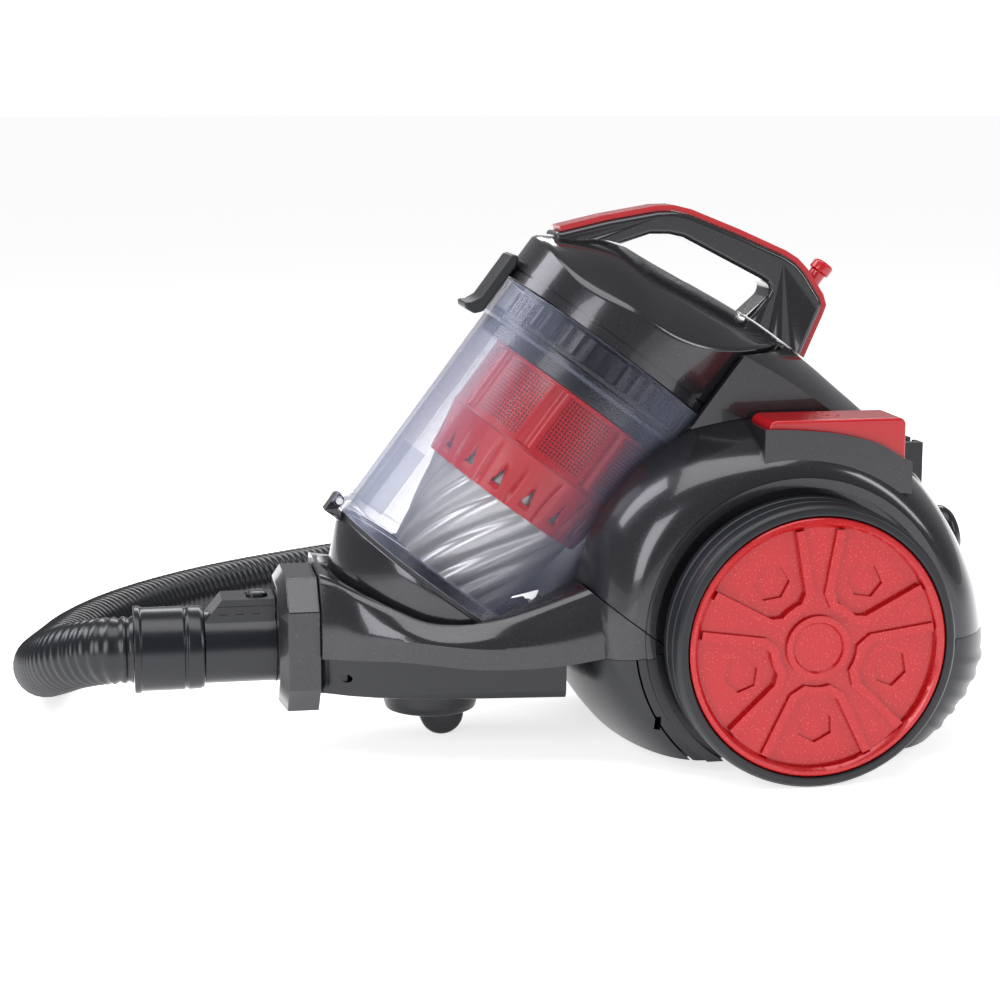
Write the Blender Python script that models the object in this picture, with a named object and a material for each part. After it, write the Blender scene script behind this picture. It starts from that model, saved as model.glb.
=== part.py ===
"""Bagless canister vacuum cleaner, built piece by piece as it would come apart on a bench.

Frame: metres, +Z up, hose inlet towards -X, wheels left and right along Y, floor at Z = 0.
The pieces are placed from the middle of the deck and moved by CENTRE at the end, so that the
origin lies on the floor under the middle of the machine. The bin stands tilted back in its own
frame, with its foot at BIN_FOOT and its axis leaning BIN_TILT from the vertical.
"""
import math

import bmesh
import bpy
from mathutils import Matrix, Vector

for old in list(bpy.data.objects):
    bpy.data.objects.remove(old, do_unlink=True)

# Clearances and walls
GAP = 0.0003            # between pieces that touch
RUN = 0.0012            # between pieces that move past each other
WALL = 0.003            # body shells
BIN_WALL = 0.0025       # clear cup

# Wheels and axle
WHEEL_R = 0.0765
WHEEL_X = 0.067
WHEEL_OUT = 0.145       # outer face of a wheel from the middle
TYRE_W = 0.034
CAP_R = WHEEL_R - 0.007
AXLE_R = 0.005
ARCH_LIP = 0.005        # width of the lip round the wheel arch
ARCH_GAP = 0.0035       # between tyre and arch

# Body
BODY_HALF = 0.109       # half width where the fender ends in the arch lip
LIP_DEPTH = 0.003
SPLIT_Z = 0.0695        # parting line of upper and lower shells behind
BASE_Z = 0.033          # underside of the base
HOUSING_Z = 0.008       # underside of the rear housing
NOSE_X = -0.1838        # front of the deck
TAIL_X = 0.1977         # rearmost point of the rear body
COVER_HALF = 0.062      # half width of the cover behind the bin

# Bin
BIN_TILT = math.radians(37)
BIN_FOOT = Vector((-0.111, 0.0, 0.090))
BIN_R = 0.0705
BIN_H = 0.160
HEAD_R = BIN_R + 0.0035
RING_R = BIN_R + 0.0025
LID_DEPTH = 0.0335      # at the hinge side
LID_BACK = 0.0098       # at the back
SHROUD_R = 0.0555

# Inlet and hose
PIPE_Z = 0.056
COLLAR_LEN = 0.0224
COLLAR_HALF = 0.038
PIPE_R = 0.0205
CUFF_R = 0.0235
CONNECTOR_LEN = 0.040
CUFF_LEN = 0.039
HOSE_D = 0.038

# Caster
CASTER_X = -0.118
CASTER_R = 0.0125
CASTER_TRAIL = 0.006
CASTER_PIN_R = 0.002

AXLE_Z = WHEEL_R
ARCH_R = WHEEL_R + ARCH_GAP
SIDE_R = ARCH_R + ARCH_LIP
SIDE_Y = BODY_HALF + LIP_DEPTH
RECESS_Y = SIDE_Y - 0.0065
WHEEL_IN = WHEEL_OUT - TYRE_W
BIN_SPACE = RING_R + RUN
COLLAR_FRONT = NOSE_X - GAP - COLLAR_LEN
CENTRE = -(COLLAR_FRONT + TAIL_X) / 2
HEAD_SPACE = HEAD_R + RUN


# ---------------------------------------------------------------- materials
def material(name, colour, roughness, metallic=0.0, alpha=1.0):
    made = bpy.data.materials.new(name)
    made.use_nodes = True
    shader = made.node_tree.nodes["Principled BSDF"]
    shader.inputs["Base Color"].default_value = (*colour, 1.0)
    shader.inputs["Roughness"].default_value = roughness
    shader.inputs["Metallic"].default_value = metallic
    shader.inputs["Alpha"].default_value = alpha
    return made


def gunmetal():
    return material("gunmetal", (0.06, 0.058, 0.06), 0.22, 0.35)


def black_plastic():
    return material("black_plastic", (0.012, 0.013, 0.016), 0.4)


def red_plastic():
    return material("red_plastic", (0.55, 0.01, 0.015), 0.28)


def clear_plastic():
    return material("clear_plastic", (0.8, 0.82, 0.9), 0.08, 0.0, 0.3)


def silver_plastic():
    return material("silver_plastic", (0.5, 0.52, 0.56), 0.3, 0.5)


def rubber():
    return material("rubber", (0.01, 0.011, 0.013), 0.65)


def steel():
    return material("steel", (0.55, 0.55, 0.56), 0.3, 1.0)


def foam():
    return material("foam", (0.08, 0.08, 0.09), 0.95)


def copper():
    return material("copper", (0.6, 0.25, 0.12), 0.35, 0.9)


# ---------------------------------------------------------------- shapes
def smooth_curve(points, x):
    """Value at x of a smooth curve through points (x, value), flat-ended, without overshoot."""
    if x <= points[0][0]:
        return points[0][1]
    for (x0, v0), (x1, v1) in zip(points, points[1:]):
        if x <= x1:
            t = (x - x0) / (x1 - x0)
            i = points.index((x0, v0))
            before = points[i - 1] if i else (x0 - (x1 - x0), v0)
            after = points[i + 2] if i + 2 < len(points) else (x1 + (x1 - x0), v1)
            m0 = (v1 - before[1]) / (x1 - before[0]) * (x1 - x0)
            m1 = (after[1] - v0) / (after[0] - x0) * (x1 - x0)
            return ((2 * t**3 - 3 * t**2 + 1) * v0 + (t**3 - 2 * t**2 + t) * m0
                    + (3 * t**2 - 2 * t**3) * v1 + (t**3 - t**2) * m1)
    return points[-1][1]


def to_object(bm, name, finish, sharp=32.0):
    bmesh.ops.remove_doubles(bm, verts=bm.verts, dist=1e-6)
    bmesh.ops.recalc_face_normals(bm, faces=bm.faces)
    mesh = bpy.data.meshes.new(name)
    bm.to_mesh(mesh)
    bm.free()
    mesh.shade_smooth()
    mesh.set_sharp_from_angle(angle=math.radians(sharp))
    made = bpy.data.objects.new(name, mesh)
    bpy.context.collection.objects.link(made)
    mesh.materials.append(finish)
    return made


def loft(name, rings, finish, sharp=32.0):
    """Skin closed rings of points, each with the same count, and close both ends."""
    bm = bmesh.new()
    rows = [[bm.verts.new(p) for p in ring] for ring in rings]
    for low, high in zip(rows, rows[1:]):
        count = len(low)
        for i in range(count):
            j = (i + 1) % count
            bm.faces.new((low[i], low[j], high[j], high[i]))
    bm.faces.new(list(reversed(rows[0])))
    bm.faces.new(rows[-1])
    bmesh.ops.triangulate(bm, faces=bm.faces)
    return to_object(bm, name, finish, sharp)


def turned(name, profile, finish, steps=24, sharp=32.0):
    """Turn a closed (radius, height) outline about Z."""
    bm = bmesh.new()
    corners = [bm.verts.new((r, 0.0, z)) for r, z in profile]
    edges = [bm.edges.new(pair) for pair in zip(corners, corners[1:] + corners[:1])
             if pair[0].co.x > 0 or pair[1].co.x > 0]
    bmesh.ops.spin(bm, geom=corners + edges, cent=(0, 0, 0), axis=(0, 0, 1),
                   angle=math.tau, steps=steps, use_merge=True)
    return to_object(bm, name, finish, sharp)


def prism(name, outline, near, far, finish, bevel=0.0, sharp=32.0):
    """Extrude an (x, z) outline along Y from near to far."""
    bm = bmesh.new()
    face = bm.faces.new([bm.verts.new((x, near, z)) for x, z in outline])
    grown = bmesh.ops.extrude_face_region(bm, geom=[face])
    moved = [v for v in grown["geom"] if isinstance(v, bmesh.types.BMVert)]
    bmesh.ops.translate(bm, verts=moved, vec=(0.0, far - near, 0.0))
    made = to_object(bm, name, finish, sharp)
    if bevel:
        soften(made, bevel)
    return made


def block(name, low, high, finish, bevel=0.0):
    outline = [(low[0], low[2]), (high[0], low[2]), (high[0], high[2]), (low[0], high[2])]
    return prism(name, outline, low[1], high[1], finish, bevel)


def soften(made, width, segments=1):
    bevel = made.modifiers.new("rounded_edges", "BEVEL")
    bevel.width = width
    bevel.segments = segments
    bevel.limit_method = "ANGLE"
    bevel.angle_limit = math.radians(40)


def combine(made, tool, operation="DIFFERENCE", solver="EXACT"):
    step = made.modifiers.new(tool.name, "BOOLEAN")
    step.operation = operation
    step.solver = solver
    step.object = tool
    tool.hide_render = True
    tool.display_type = "WIRE"
    return made


def along_y(made, place, flip=1):
    """Turn a piece made about Z so that its +Z points to +Y (flip 1) or -Y (flip -1)."""
    made.location = place
    made.rotation_euler = (-flip * math.pi / 2, 0.0, 0.0)
    return made


def along_x(made, place):
    made.location = place
    made.rotation_euler = (0.0, math.pi / 2, 0.0)
    return made


def round_bar(name, radius, low, high, finish, steps=24):
    return turned(name, [(0.0, high), (radius, high), (radius, low), (0.0, low)], finish, steps)


def offset_line(points, distance):
    """Points of an open line moved sideways by distance, to the right of its direction."""
    moved = []
    for i, point in enumerate(points):
        before = Vector(points[max(i - 1, 0)])
        after = Vector(points[min(i + 1, len(points) - 1)])
        here = Vector(point)
        sides = []
        for a, b in ((before, here), (here, after)):
            if (b - a).length > 0:
                d = (b - a).normalized()
                sides.append(Vector((d.y, -d.x)))
        mean = sum(sides, Vector((0.0, 0.0))).normalized()
        moved.append(tuple(here + mean * distance / mean.dot(sides[0])))
    return moved


bin_frame = bpy.data.objects.new("bin_frame", None)
bin_frame.location = BIN_FOOT
bin_frame.rotation_euler = (0.0, BIN_TILT, 0.0)
bpy.context.collection.objects.link(bin_frame)
BIN_AXIS = Vector((math.sin(BIN_TILT), 0.0, math.cos(BIN_TILT)))
BIN_BACK = Vector((math.cos(BIN_TILT), 0.0, -math.sin(BIN_TILT)))


def in_bin(made):
    made.parent = bin_frame
    return made


# ---------------------------------------------------------------- body surfaces
FENDER = [(-190, 0.122), (-165, 0.118), (-140, 0.113), (-115, 0.112), (-90, 0.112),
          (-60, 0.116), (-38, 0.124), (-15, 0.1335), (4, 0.126), (17, 0.120), (32, 0.1165),
          (55, 0.115), (85, 0.116), (105, 0.119), (125, 0.126), (150, 0.129), (170, 0.122)]


def fender_solid(name, grow=0.0, steps=36):
    """Rear body: flat arch discs at the sides swelling to a full drum in the middle."""
    half = BODY_HALF + grow
    places = [half * math.sin(math.radians(a)) for a in (-90, -68, -45, -22, 0, 22, 45, 68, 90)]
    if grow < 0:
        end = RECESS_Y + grow
        places = [-end] + [y for y in places if abs(y) < end - 0.003] + [end]
    else:
        places = [-SIDE_Y - grow] + places + [SIDE_Y + grow]
    rings = []
    for y in places:
        swell = math.sqrt(max(0.0, 1.0 - (y / half) ** 2))
        ring = []
        for i in range(steps):
            a = math.tau * (i + 0.5) / steps - math.pi
            full = smooth_curve(FENDER, math.degrees(a)) + SIDE_R - 0.0850 + grow
            r = SIDE_R + grow + (full - SIDE_R - grow) * swell
            ring.append((WHEEL_X + r * math.cos(a), y, AXLE_Z + r * math.sin(a)))
        rings.append(ring)
    return loft(name, rings, gunmetal())


CROWN = [(-0.060, 0.2850), (-0.0447, 0.2838), (-0.0148, 0.2815), (0.010, 0.2683),
         (0.0636, 0.2381), (0.0957, 0.2150), (0.1172, 0.1972), (0.1359, 0.1809),
         (0.1599, 0.1543), (0.175, 0.130)]
CROWN_DROP = 0.037      # fall of the crown at the side of the head


def crown(x, y, grow=0.0):
    return smooth_curve(CROWN, x) - CROWN_DROP * (y / HEAD_R) ** 2 + grow


COVER_WIDTH = [(0.0, 1.0), (0.05, 1.0), (0.10, 0.93), (0.14, 0.80), (0.165, 0.62)]


def cover_solid(name, grow=0.0, foot=0.10):
    rings = []
    for x in [0.015 + 0.0136 * i for i in range(12)]:
        half = COVER_HALF * smooth_curve(COVER_WIDTH, x) + grow
        top = [(x, half * math.sin(math.radians(a)), 0.0) for a in (-90, -62, -38, -14, 14, 38, 62, 90)]
        top = [(x, y, max(crown(x, y, grow), foot + 0.01)) for _, y, _ in top]
        rings.append([(x, -half, foot)] + top + [(x, half, foot)])
    first = [(p[0] - 1.5 * abs(grow), p[1], p[2]) for p in rings[0]]
    last = [(p[0] + grow, p[1], p[2]) for p in rings[-1]]
    return loft(name, [first] + rings[1:-1] + [last], gunmetal())


DECK_WIDTH = [(-0.20, 0.044), (-0.1838, 0.046), (-0.165, 0.062), (-0.14, 0.075),
              (-0.11, 0.083), (-0.07, 0.089), (-0.03, 0.094), (0.03, 0.097)]
DECK_TOP = [(-0.20, 0.104), (-0.1838, 0.102), (-0.15, 0.090), (-0.125, 0.0816),
            (-0.092, 0.0835), (-0.0456, 0.0993), (-0.02, 0.109), (0.03, 0.112)]
SKIRT = [(-0.20, 0.0555), (-0.146, 0.0600), (-0.10, 0.0565), (-0.059, 0.0584),
         (-0.02, 0.0655), (0.01, SPLIT_Z)]


def deck_solid(name, grow=0.0, foot=0.045):
    rings = []
    places = [NOSE_X + 0.0143 * i for i in range(16)]
    places[0] = places[0] - min(grow, 0.0)
    for x in places:
        half = smooth_curve(DECK_WIDTH, x) + grow
        top = smooth_curve(DECK_TOP, x) + grow
        band = smooth_curve(SKIRT, x) + 0.012
        side = [(half - 0.004, foot), (half - 0.002, band - 0.012), (half, band),
                (half - 0.009, top - 0.006), (half - 0.013, top - 0.001),
                (half - 0.020, top), (half * 0.3, top + 0.0015)]
        right = [(x, y, z) for y, z in side]
        rings.append(right + [(x, -y, z) for _, y, z in reversed(right)])
    return loft(name, rings, gunmetal(), 25.0)


def lid_height(x, low=0.0):
    """Underside of the bin lid in the bin frame: deep at the hinge, shallow at the back."""
    slope = (LID_DEPTH - LID_BACK) / 0.124
    return -LID_BACK - (0.066 - x) * slope - low


def lid_ring(radius, shift, low, steps=32):
    ring = []
    for i in range(steps):
        a = math.tau * i / steps
        x = shift + radius * math.cos(a)
        ring.append((x, radius * math.sin(a), lid_height(x, low)))
    return ring


def flat_ring(radius, z, steps=32):
    return [(radius * math.cos(math.tau * i / steps), radius * math.sin(math.tau * i / steps), z)
            for i in range(steps)]


def bin_space(name, extra=0.0):
    """Room the bin assembly needs, from under its lid straight up along its axis."""
    rings = [lid_ring(0.0640 + extra, 0.004, RUN), lid_ring(0.0670 + extra, 0.002, -0.003),
             flat_ring(BIN_SPACE + extra, -0.004), flat_ring(BIN_SPACE + extra, 0.130),
             flat_ring(HEAD_SPACE + extra, 0.134), flat_ring(HEAD_SPACE + extra, 0.40)]
    return in_bin(loft(name, rings, black_plastic()))


def side_region(name, outline, half=0.2):
    return prism(name, outline, -half, half, black_plastic())


SEAM = [(-0.076, 0.1248), (-0.0432, 0.0995), (-0.0024, SPLIT_Z)]


# ---------------------------------------------------------------- body pieces
def wheel_recess(made, name):
    for flip in (-1, 1):
        tool = round_bar(f"{name}_recess_{flip}", ARCH_R, 0.0, 0.02, black_plastic(), 48)
        combine(made, along_y(tool, (WHEEL_X, flip * RECESS_Y, AXLE_Z), flip))
        bore = round_bar(f"{name}_bore_{flip}", AXLE_R + GAP, -0.03, 0.03, black_plastic())
        combine(made, along_y(bore, (WHEEL_X, flip * SIDE_Y, AXLE_Z), flip))


PEDAL_LOW = (0.050, 0.066)
PEDAL_HIGH = (0.1275, 0.102)
PEDAL_TOP = 0.191
POD_EDGE = [(0.0475, 0.1868), (0.065, 0.1862), (0.088, 0.1837), (0.111, 0.1777), (0.1300, 0.1675)]
POD_WALL = 0.0027


def rear_shell():
    made = fender_solid("rear_shell")
    region = SEAM + [(0.26, SPLIT_Z), (0.26, 0.33), (-0.076, 0.33)]
    combine(made, side_region("rear_region", region), "INTERSECT")
    combine(made, fender_solid("rear_inner", -WALL))
    combine(made, bin_space("rear_shell_bin", WALL))
    wheel_recess(made, "rear_shell")
    for flip in (-1, 1):
        near, far = sorted((flip * (PEDAL_LOW[1] - POD_WALL), flip * (PEDAL_HIGH[1] + POD_WALL)))
        outline = [(x, z) for x, z in POD_EDGE] + [(0.1300, 0.150), (0.0475, 0.158)]
        combine(made, prism(f"pod_{flip}", outline, near, far, gunmetal()), "UNION")
        near, far = sorted((flip * PEDAL_LOW[1], flip * PEDAL_HIGH[1]))
        combine(made, block(f"pedal_well_{flip}", (PEDAL_LOW[0], near, 0.14), (PEDAL_HIGH[0], far, 0.22),
                            black_plastic()))
    lead_way = at_gland(round_bar("lead_way", 0.0045, -0.02, 0.02, black_plastic(), 16))
    return combine(made, lead_way)


def deck_cover():
    made = combine(fender_solid("deck_cover"), deck_solid("deck_outer"), "UNION")
    low = [(x / 1000, smooth_curve(SKIRT, x / 1000)) for x in range(-190, 0, 19)]
    seam = [(x - GAP, z - GAP * 2) for x, z in reversed(SEAM)]
    region = low + [(-0.0065, SPLIT_Z - 0.0008)] + seam + [(-0.08, 0.2), (-0.20, 0.2)]
    combine(made, side_region("deck_region", region), "INTERSECT")
    combine(made, deck_solid("deck_inner", -WALL, 0.035), "DIFFERENCE", "MANIFOLD")
    combine(made, fender_solid("deck_fender_inner", -WALL))
    combine(made, bin_space("deck_bin"))
    wheel_recess(made, "deck_cover")
    bore = round_bar("deck_inlet_bore", PIPE_R + GAP, -0.03, 0.03, black_plastic())
    combine(made, along_x(bore, (NOSE_X, 0.0, PIPE_Z)))
    return made


def base_pan():
    """Tray under the deck, from the inlet collar back to the rear housing."""
    behind_nose = NOSE_X + WALL + GAP
    places = [NOSE_X, behind_nose, behind_nose + 0.0002, -0.165, -0.14, -0.11, -0.08, -0.05]
    rings, hollow = [], []
    for x in places:
        half = smooth_curve(DECK_WIDTH, x) * 0.70
        top = smooth_curve(SKIRT, x) + (0.004 if x > behind_nose else -GAP)
        outline = [(half - 0.006, BASE_Z), (half, BASE_Z + 0.006), (half + 0.002, top),
                   (half * 0.4, top)]
        rings.append([(x, y, z) for y, z in outline] + [(x, -y, z) for y, z in reversed(outline)])
        inner = [(half - 0.008, BASE_Z + 0.0025), (half - 0.0025, BASE_Z + 0.007),
                 (half - 0.0005, top + 0.01), (half * 0.4, top + 0.01)]
        ends = {places[0]: x + 0.0025, places[-1]: x - 0.0025}
        hollow.append([(ends.get(x, x), y, z) for y, z in inner]
                      + [(ends.get(x, x), -y, z) for y, z in reversed(inner)])
    made = loft("base_pan", rings, black_plastic())
    combine(made, loft("base_hollow", hollow, black_plastic()))
    combine(made, bin_space("base_bin"))
    bore = round_bar("base_inlet_bore", PIPE_R + GAP, -0.03, 0.03, black_plastic())
    combine(made, along_x(bore, (NOSE_X, 0.0, PIPE_Z)))
    combine(made, round_tool("base_caster_bore", CASTER_X, 0.0195, BASE_Z - 0.01, BASE_Z + 0.01))
    return made


def round_tool(name, x, radius, low, high):
    tool = turned(name, [(0.0, high), (radius, high), (radius, low), (0.0, low)], black_plastic(), 32)
    tool.location.x = x
    return tool


def lower_housing():
    """Closed tub between the wheels that carries the motor and the cord reel."""
    made = fender_solid("lower_housing")
    skirt = [(x / 1000, smooth_curve(SKIRT, x / 1000) - GAP) for x in range(0, -60, -10)]
    region = [(-0.050 + GAP, HOUSING_Z), (0.26, HOUSING_Z), (0.26, SPLIT_Z - GAP),
              (0.005, SPLIT_Z - GAP)] + skirt
    combine(made, side_region("lower_region", region), "INTERSECT")
    room = fender_solid("lower_inner", -WALL)
    front = -0.050 + GAP + WALL
    floor = HOUSING_Z + WALL
    above = [(front, floor), (0.26, floor), (0.26, 0.2), (front, 0.2)]
    combine(room, side_region("lower_room", above), "INTERSECT")
    combine(made, room)
    wheel_recess(made, "lower_housing")
    combine(made, bin_space("lower_bin"))
    return made


def top_cover():
    made = cover_solid("top_cover")
    combine(made, cover_solid("top_cover_inner", -WALL, 0.09))
    combine(made, fender_solid("top_cover_seat", GAP))
    combine(made, bin_space("top_cover_bin", WALL))
    return made


def bin_cradle():
    """Curved wall behind the bin that closes the front of the rear body."""
    steps = 20
    angles = [math.radians(-86 + 172 * i / steps) for i in range(steps + 1)]
    inner = HEAD_SPACE
    outer = HEAD_SPACE + WALL - 3 * GAP
    outline = [(inner * math.cos(a), inner * math.sin(a)) for a in angles]
    outline += [(outer * math.cos(a), outer * math.sin(a)) for a in reversed(angles)]
    rings = [[(x, y, z) for x, y in outline] for z in (0.010, 0.24)]
    made = in_bin(loft("bin_cradle", rings, gunmetal()))
    inside = fender_solid("cradle_fender", -WALL - GAP)
    combine(inside, cover_solid("cradle_cover", -WALL - GAP), "UNION")
    combine(made, inside, "INTERSECT", "MANIFOLD")
    low = [(-0.2, 0.0), (0.3, 0.0), (0.3, SPLIT_Z), (-0.2, SPLIT_Z)]
    return combine(made, side_region("cradle_low", low))


def inlet_collar():
    """Eight-sided bezel round the suction inlet."""
    half, cut = COLLAR_HALF, 0.016
    front = COLLAR_FRONT

    def ring(x, inset):
        h = half - inset
        c = cut - inset * 0.3
        return [(x, h, -h + c), (x, h, h - c), (x, h - c, h), (x, -h + c, h), (x, -h, h - c),
                (x, -h, -h + c), (x, -h + c, -h), (x, h - c, -h)]

    rings = [ring(front, 0.006), ring(front + 0.005, 0.0), ring(NOSE_X - GAP, 0.0)]
    made = loft("inlet_collar", rings, gunmetal(), 20.0)
    made.location.z = PIPE_Z + 0.004
    bore = round_bar("collar_bore", PIPE_R + GAP, -0.06, 0.06, black_plastic(), 32)
    combine(made, along_x(bore, (front, 0.0, PIPE_Z)))
    return made


def inlet_duct():
    inner = PIPE_R - 0.002
    outline = [(PIPE_R, 0.032), (PIPE_R, 0.0), (inner, 0.0), (inner, 0.032)]
    made = turned("inlet_duct", outline, black_plastic(), 24)
    return along_x(made, (NOSE_X + GAP * 2, 0.0, PIPE_Z))


def axle(side, flip):
    """Steel stub with a collar inside the shell wall."""
    inside = RECESS_Y - WALL - GAP
    profile = [(0.0, WHEEL_OUT - 0.010), (AXLE_R, WHEEL_OUT - 0.010), (AXLE_R, inside),
               (AXLE_R + 0.004, inside), (AXLE_R + 0.004, inside - 0.005), (0.0, inside - 0.005)]
    made = turned(f"axle_{side}", profile, steel(), 24)
    return along_y(made, (WHEEL_X, 0.0, AXLE_Z), flip)


def motor_pieces():
    """Suction motor across the machine, with its fan chamber towards the middle."""
    place = (WHEEL_X + 0.008, 0.0, AXLE_Z + 0.018)
    outline = [(0.049, 0.045), (0.049, -0.045), (0.012, -0.045), (0.012, -0.042), (0.046, -0.042),
               (0.046, 0.045)]
    can = turned("motor_can", outline, silver_plastic(), 24)
    along_y(can, (place[0], -0.045, place[2]), 1)
    outline = [(0.0, 0.040), (0.042, 0.040), (0.042, 0.026), (0.004, 0.024), (0.004, 0.016),
               (0.024, 0.016), (0.024, -0.026), (0.004, -0.026), (0.004, -0.050), (0.0, -0.050)]
    rotor = turned("motor_rotor", outline, copper(), 20)
    along_y(rotor, (place[0], -0.045, place[2]), 1)
    outline = [(0.052, 0.003), (0.052, -0.004), (0.0495, -0.004), (0.0495, 0.003)]
    seal = turned("motor_seal", outline, rubber(), 24)
    along_y(seal, (place[0], -0.01, place[2]), 1)
    return can, rotor, seal


def cord_reel():
    """Drum with the wound mains lead, on the other side from the motor."""
    place = (WHEEL_X + 0.012, 0.047, AXLE_Z + 0.005)
    rim = AXLE_Z - HOUSING_Z - WALL + 0.0005
    wound_r, core, half = rim - 0.008, 0.026, 0.026
    inside = half - 0.002
    profile = [(rim, half), (rim, inside), (core, inside), (core, -inside), (rim, -inside), (rim, -half),
               (0.008, -half), (0.008, half)]
    drum = along_y(turned("cord_reel", profile, black_plastic(), 20), place, 1)
    lead = inside - GAP
    hollow = core + GAP * 2
    coil = [(wound_r, lead), (wound_r, -lead), (hollow, -lead), (hollow, lead)]
    wound = along_y(turned("wound_lead", coil, rubber(), 20), place, 1)
    post = along_y(round_bar("reel_post", 0.0074, -0.029, 0.029, black_plastic(), 20), place, 1)
    return drum, wound, post


def exhaust_pieces():
    low, high = (0.148, -0.040, AXLE_Z - 0.0015), (0.166, 0.040, AXLE_Z + 0.0285)
    filter_block = block("exhaust_filter", low, high, foam())
    low, high = (0.128, -0.086, AXLE_Z + 0.0235), (0.1296, -0.062, AXLE_Z + 0.0585)
    board = block("switch_board", low, high, steel())
    return filter_block, board


GLAND_R = 0.0165
GLAND_TILT = math.radians(78)       # its axis from the vertical
GLAND_SEAT = (WHEEL_X + 0.1185, 0.0, AXLE_Z + 0.0300)


def at_gland(made):
    made.location = GLAND_SEAT
    made.rotation_euler = (0.0, GLAND_TILT, 0.0)
    return made


def cord_gland():
    """Round outlet of the mains lead at the back, seated on the rear shell."""
    outline = [(GLAND_R, -0.008), (GLAND_R, 0.006), (GLAND_R - 0.004, 0.010), (0.0075, 0.0105),
               (0.0060, 0.0080), (0.0045, 0.0080), (0.0045, -0.008)]
    made = at_gland(turned("cord_gland", list(reversed(outline)), black_plastic(), 28))
    return combine(made, fender_solid("gland_seat", GAP))


def parking_bracket():
    """Channel at the back that holds the floor head's hook while parked."""
    outline = [(0.1480, 0.138), (0.1690, 0.138), (0.1690, 0.1640), (0.1480, 0.1640)]
    made = prism("parking_bracket", outline, -0.016, 0.016, black_plastic(), 0.001)
    combine(made, block("parking_slot", (0.1600, -0.011, 0.12), (0.1662, 0.011, 0.18), black_plastic()))
    combine(made, fender_solid("bracket_seat", GAP))
    combine(made, cover_solid("bracket_cover", GAP, 0.05))
    return made


# ---------------------------------------------------------------- pedals, wheels, caster
def pedal(side, flip):
    lift = 0.0005
    low = (PEDAL_LOW[0] + lift, PEDAL_LOW[1] + lift)
    high = (PEDAL_HIGH[0] - lift, PEDAL_HIGH[1] - lift)
    near, far = sorted((flip * low[1], flip * high[1]))
    outline = [(low[0], 0.168), (low[0], PEDAL_TOP - 0.004), (low[0] + 0.004, PEDAL_TOP),
               (high[0] - 0.003, PEDAL_TOP), (high[0], PEDAL_TOP - 0.003), (high[0], 0.162)]
    return prism(f"{side}_pedal", outline, near, far, red_plastic(), 0.0015)


def wheel(side, flip):
    """Rubber tyre on a black wheel body, closed by a red cap."""
    face = TYRE_W
    seat = CAP_R + 2 * GAP
    outline = [(WHEEL_R - 0.002, face - 0.001), (WHEEL_R, face - 0.006), (WHEEL_R, 0.005),
               (WHEEL_R - 0.004, 0.0), (seat, 0.0), (seat, face - 0.001)]
    tyre = turned(f"tyre_{side}", outline, rubber(), 36)
    rim = CAP_R + GAP
    bore = AXLE_R + 0.0004
    outline = [(rim, face - 0.0085), (rim, 0.0025), (rim - 0.0033, 0.0025), (rim - 0.0033, face - 0.012),
               (0.012, face - 0.016), (0.012, RUN), (bore, RUN), (bore, face - 0.0085)]
    body = turned(f"wheel_body_{side}", outline, black_plastic(), 36)
    outline = [(0.0, face - 0.0005), (0.0175, face - 0.0005), (0.0185, face - 0.003),
               (CAP_R - 0.0045, face - 0.003), (CAP_R - 0.0025, face), (CAP_R, face - 0.001),
               (CAP_R, face - 0.0082), (0.0, face - 0.0082)]
    cap = turned(f"wheel_cap_{side}", outline, red_plastic(), 36)
    for piece in (tyre, body, cap):
        along_y(piece, (WHEEL_X, flip * WHEEL_IN, AXLE_Z), flip)


def caster():
    """Small swivel wheel in a round housing under the nose."""
    outline = [(0.019, BASE_Z + 0.006), (0.019, BASE_Z - GAP), (0.0275, BASE_Z - GAP),
               (0.0265, 0.016), (0.0235, 0.016), (0.0235, BASE_Z - 0.003), (0.004, BASE_Z - 0.003),
               (0.004, BASE_Z + 0.006)]
    housing = turned("caster_housing", outline, black_plastic(), 24)
    housing.location = (CASTER_X, 0.0, 0.0)
    top = BASE_Z - 0.0035
    outline = [(-0.013, top), (0.013, top), (0.013, top - 0.003), (CASTER_TRAIL + 0.004, 0.0085),
               (CASTER_TRAIL - 0.004, 0.0085), (-0.013, top - 0.003)]
    fork = prism("caster_fork", outline, -0.011, 0.011, black_plastic())
    fork.location = (CASTER_X, 0.0, 0.0)
    gap = block("fork_slot", (-0.03, -0.0075, 0.0), (0.03, 0.0075, top - 0.0025), black_plastic())
    gap.location = fork.location
    combine(fork, gap)
    combine(fork, caster_pin("fork_bore", CASTER_PIN_R + 0.0004, 0.02))
    stem = round_bar("fork_stem", 0.0035, top - 0.001, BASE_Z + 0.005, black_plastic(), 20)
    stem.location = fork.location
    combine(fork, stem, "UNION")
    caster_pin("caster_axle", CASTER_PIN_R, 0.0105)
    outline = [(CASTER_R - 0.001, 0.007), (CASTER_R, 0.005), (CASTER_R, -0.005),
               (CASTER_R - 0.001, -0.007), (CASTER_PIN_R + 0.0004, -0.007), (CASTER_PIN_R + 0.0004, 0.007)]
    tread = turned("caster_wheel", outline, rubber(), 20)
    along_y(tread, (CASTER_X + CASTER_TRAIL, 0.0, CASTER_R), 1)


def caster_pin(name, radius, half):
    made = round_bar(name, radius, -half, half, steel(), 20)
    return along_y(made, (CASTER_X + CASTER_TRAIL, 0.0, CASTER_R), 1)


# ---------------------------------------------------------------- bin assembly
PIN_X = -(RING_R + 0.0035)
PIN_H = 0.0035
PIN_R = 0.0020


def at_hinge(made):
    in_bin(made)
    made.location = (PIN_X, 0.0, PIN_H)
    made.rotation_euler = (-math.pi / 2, 0.0, 0.0)
    return made


def hinge_bore(name):
    return at_hinge(round_bar(name, PIN_R + 0.0004, -0.02, 0.02, black_plastic(), 16))


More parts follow.
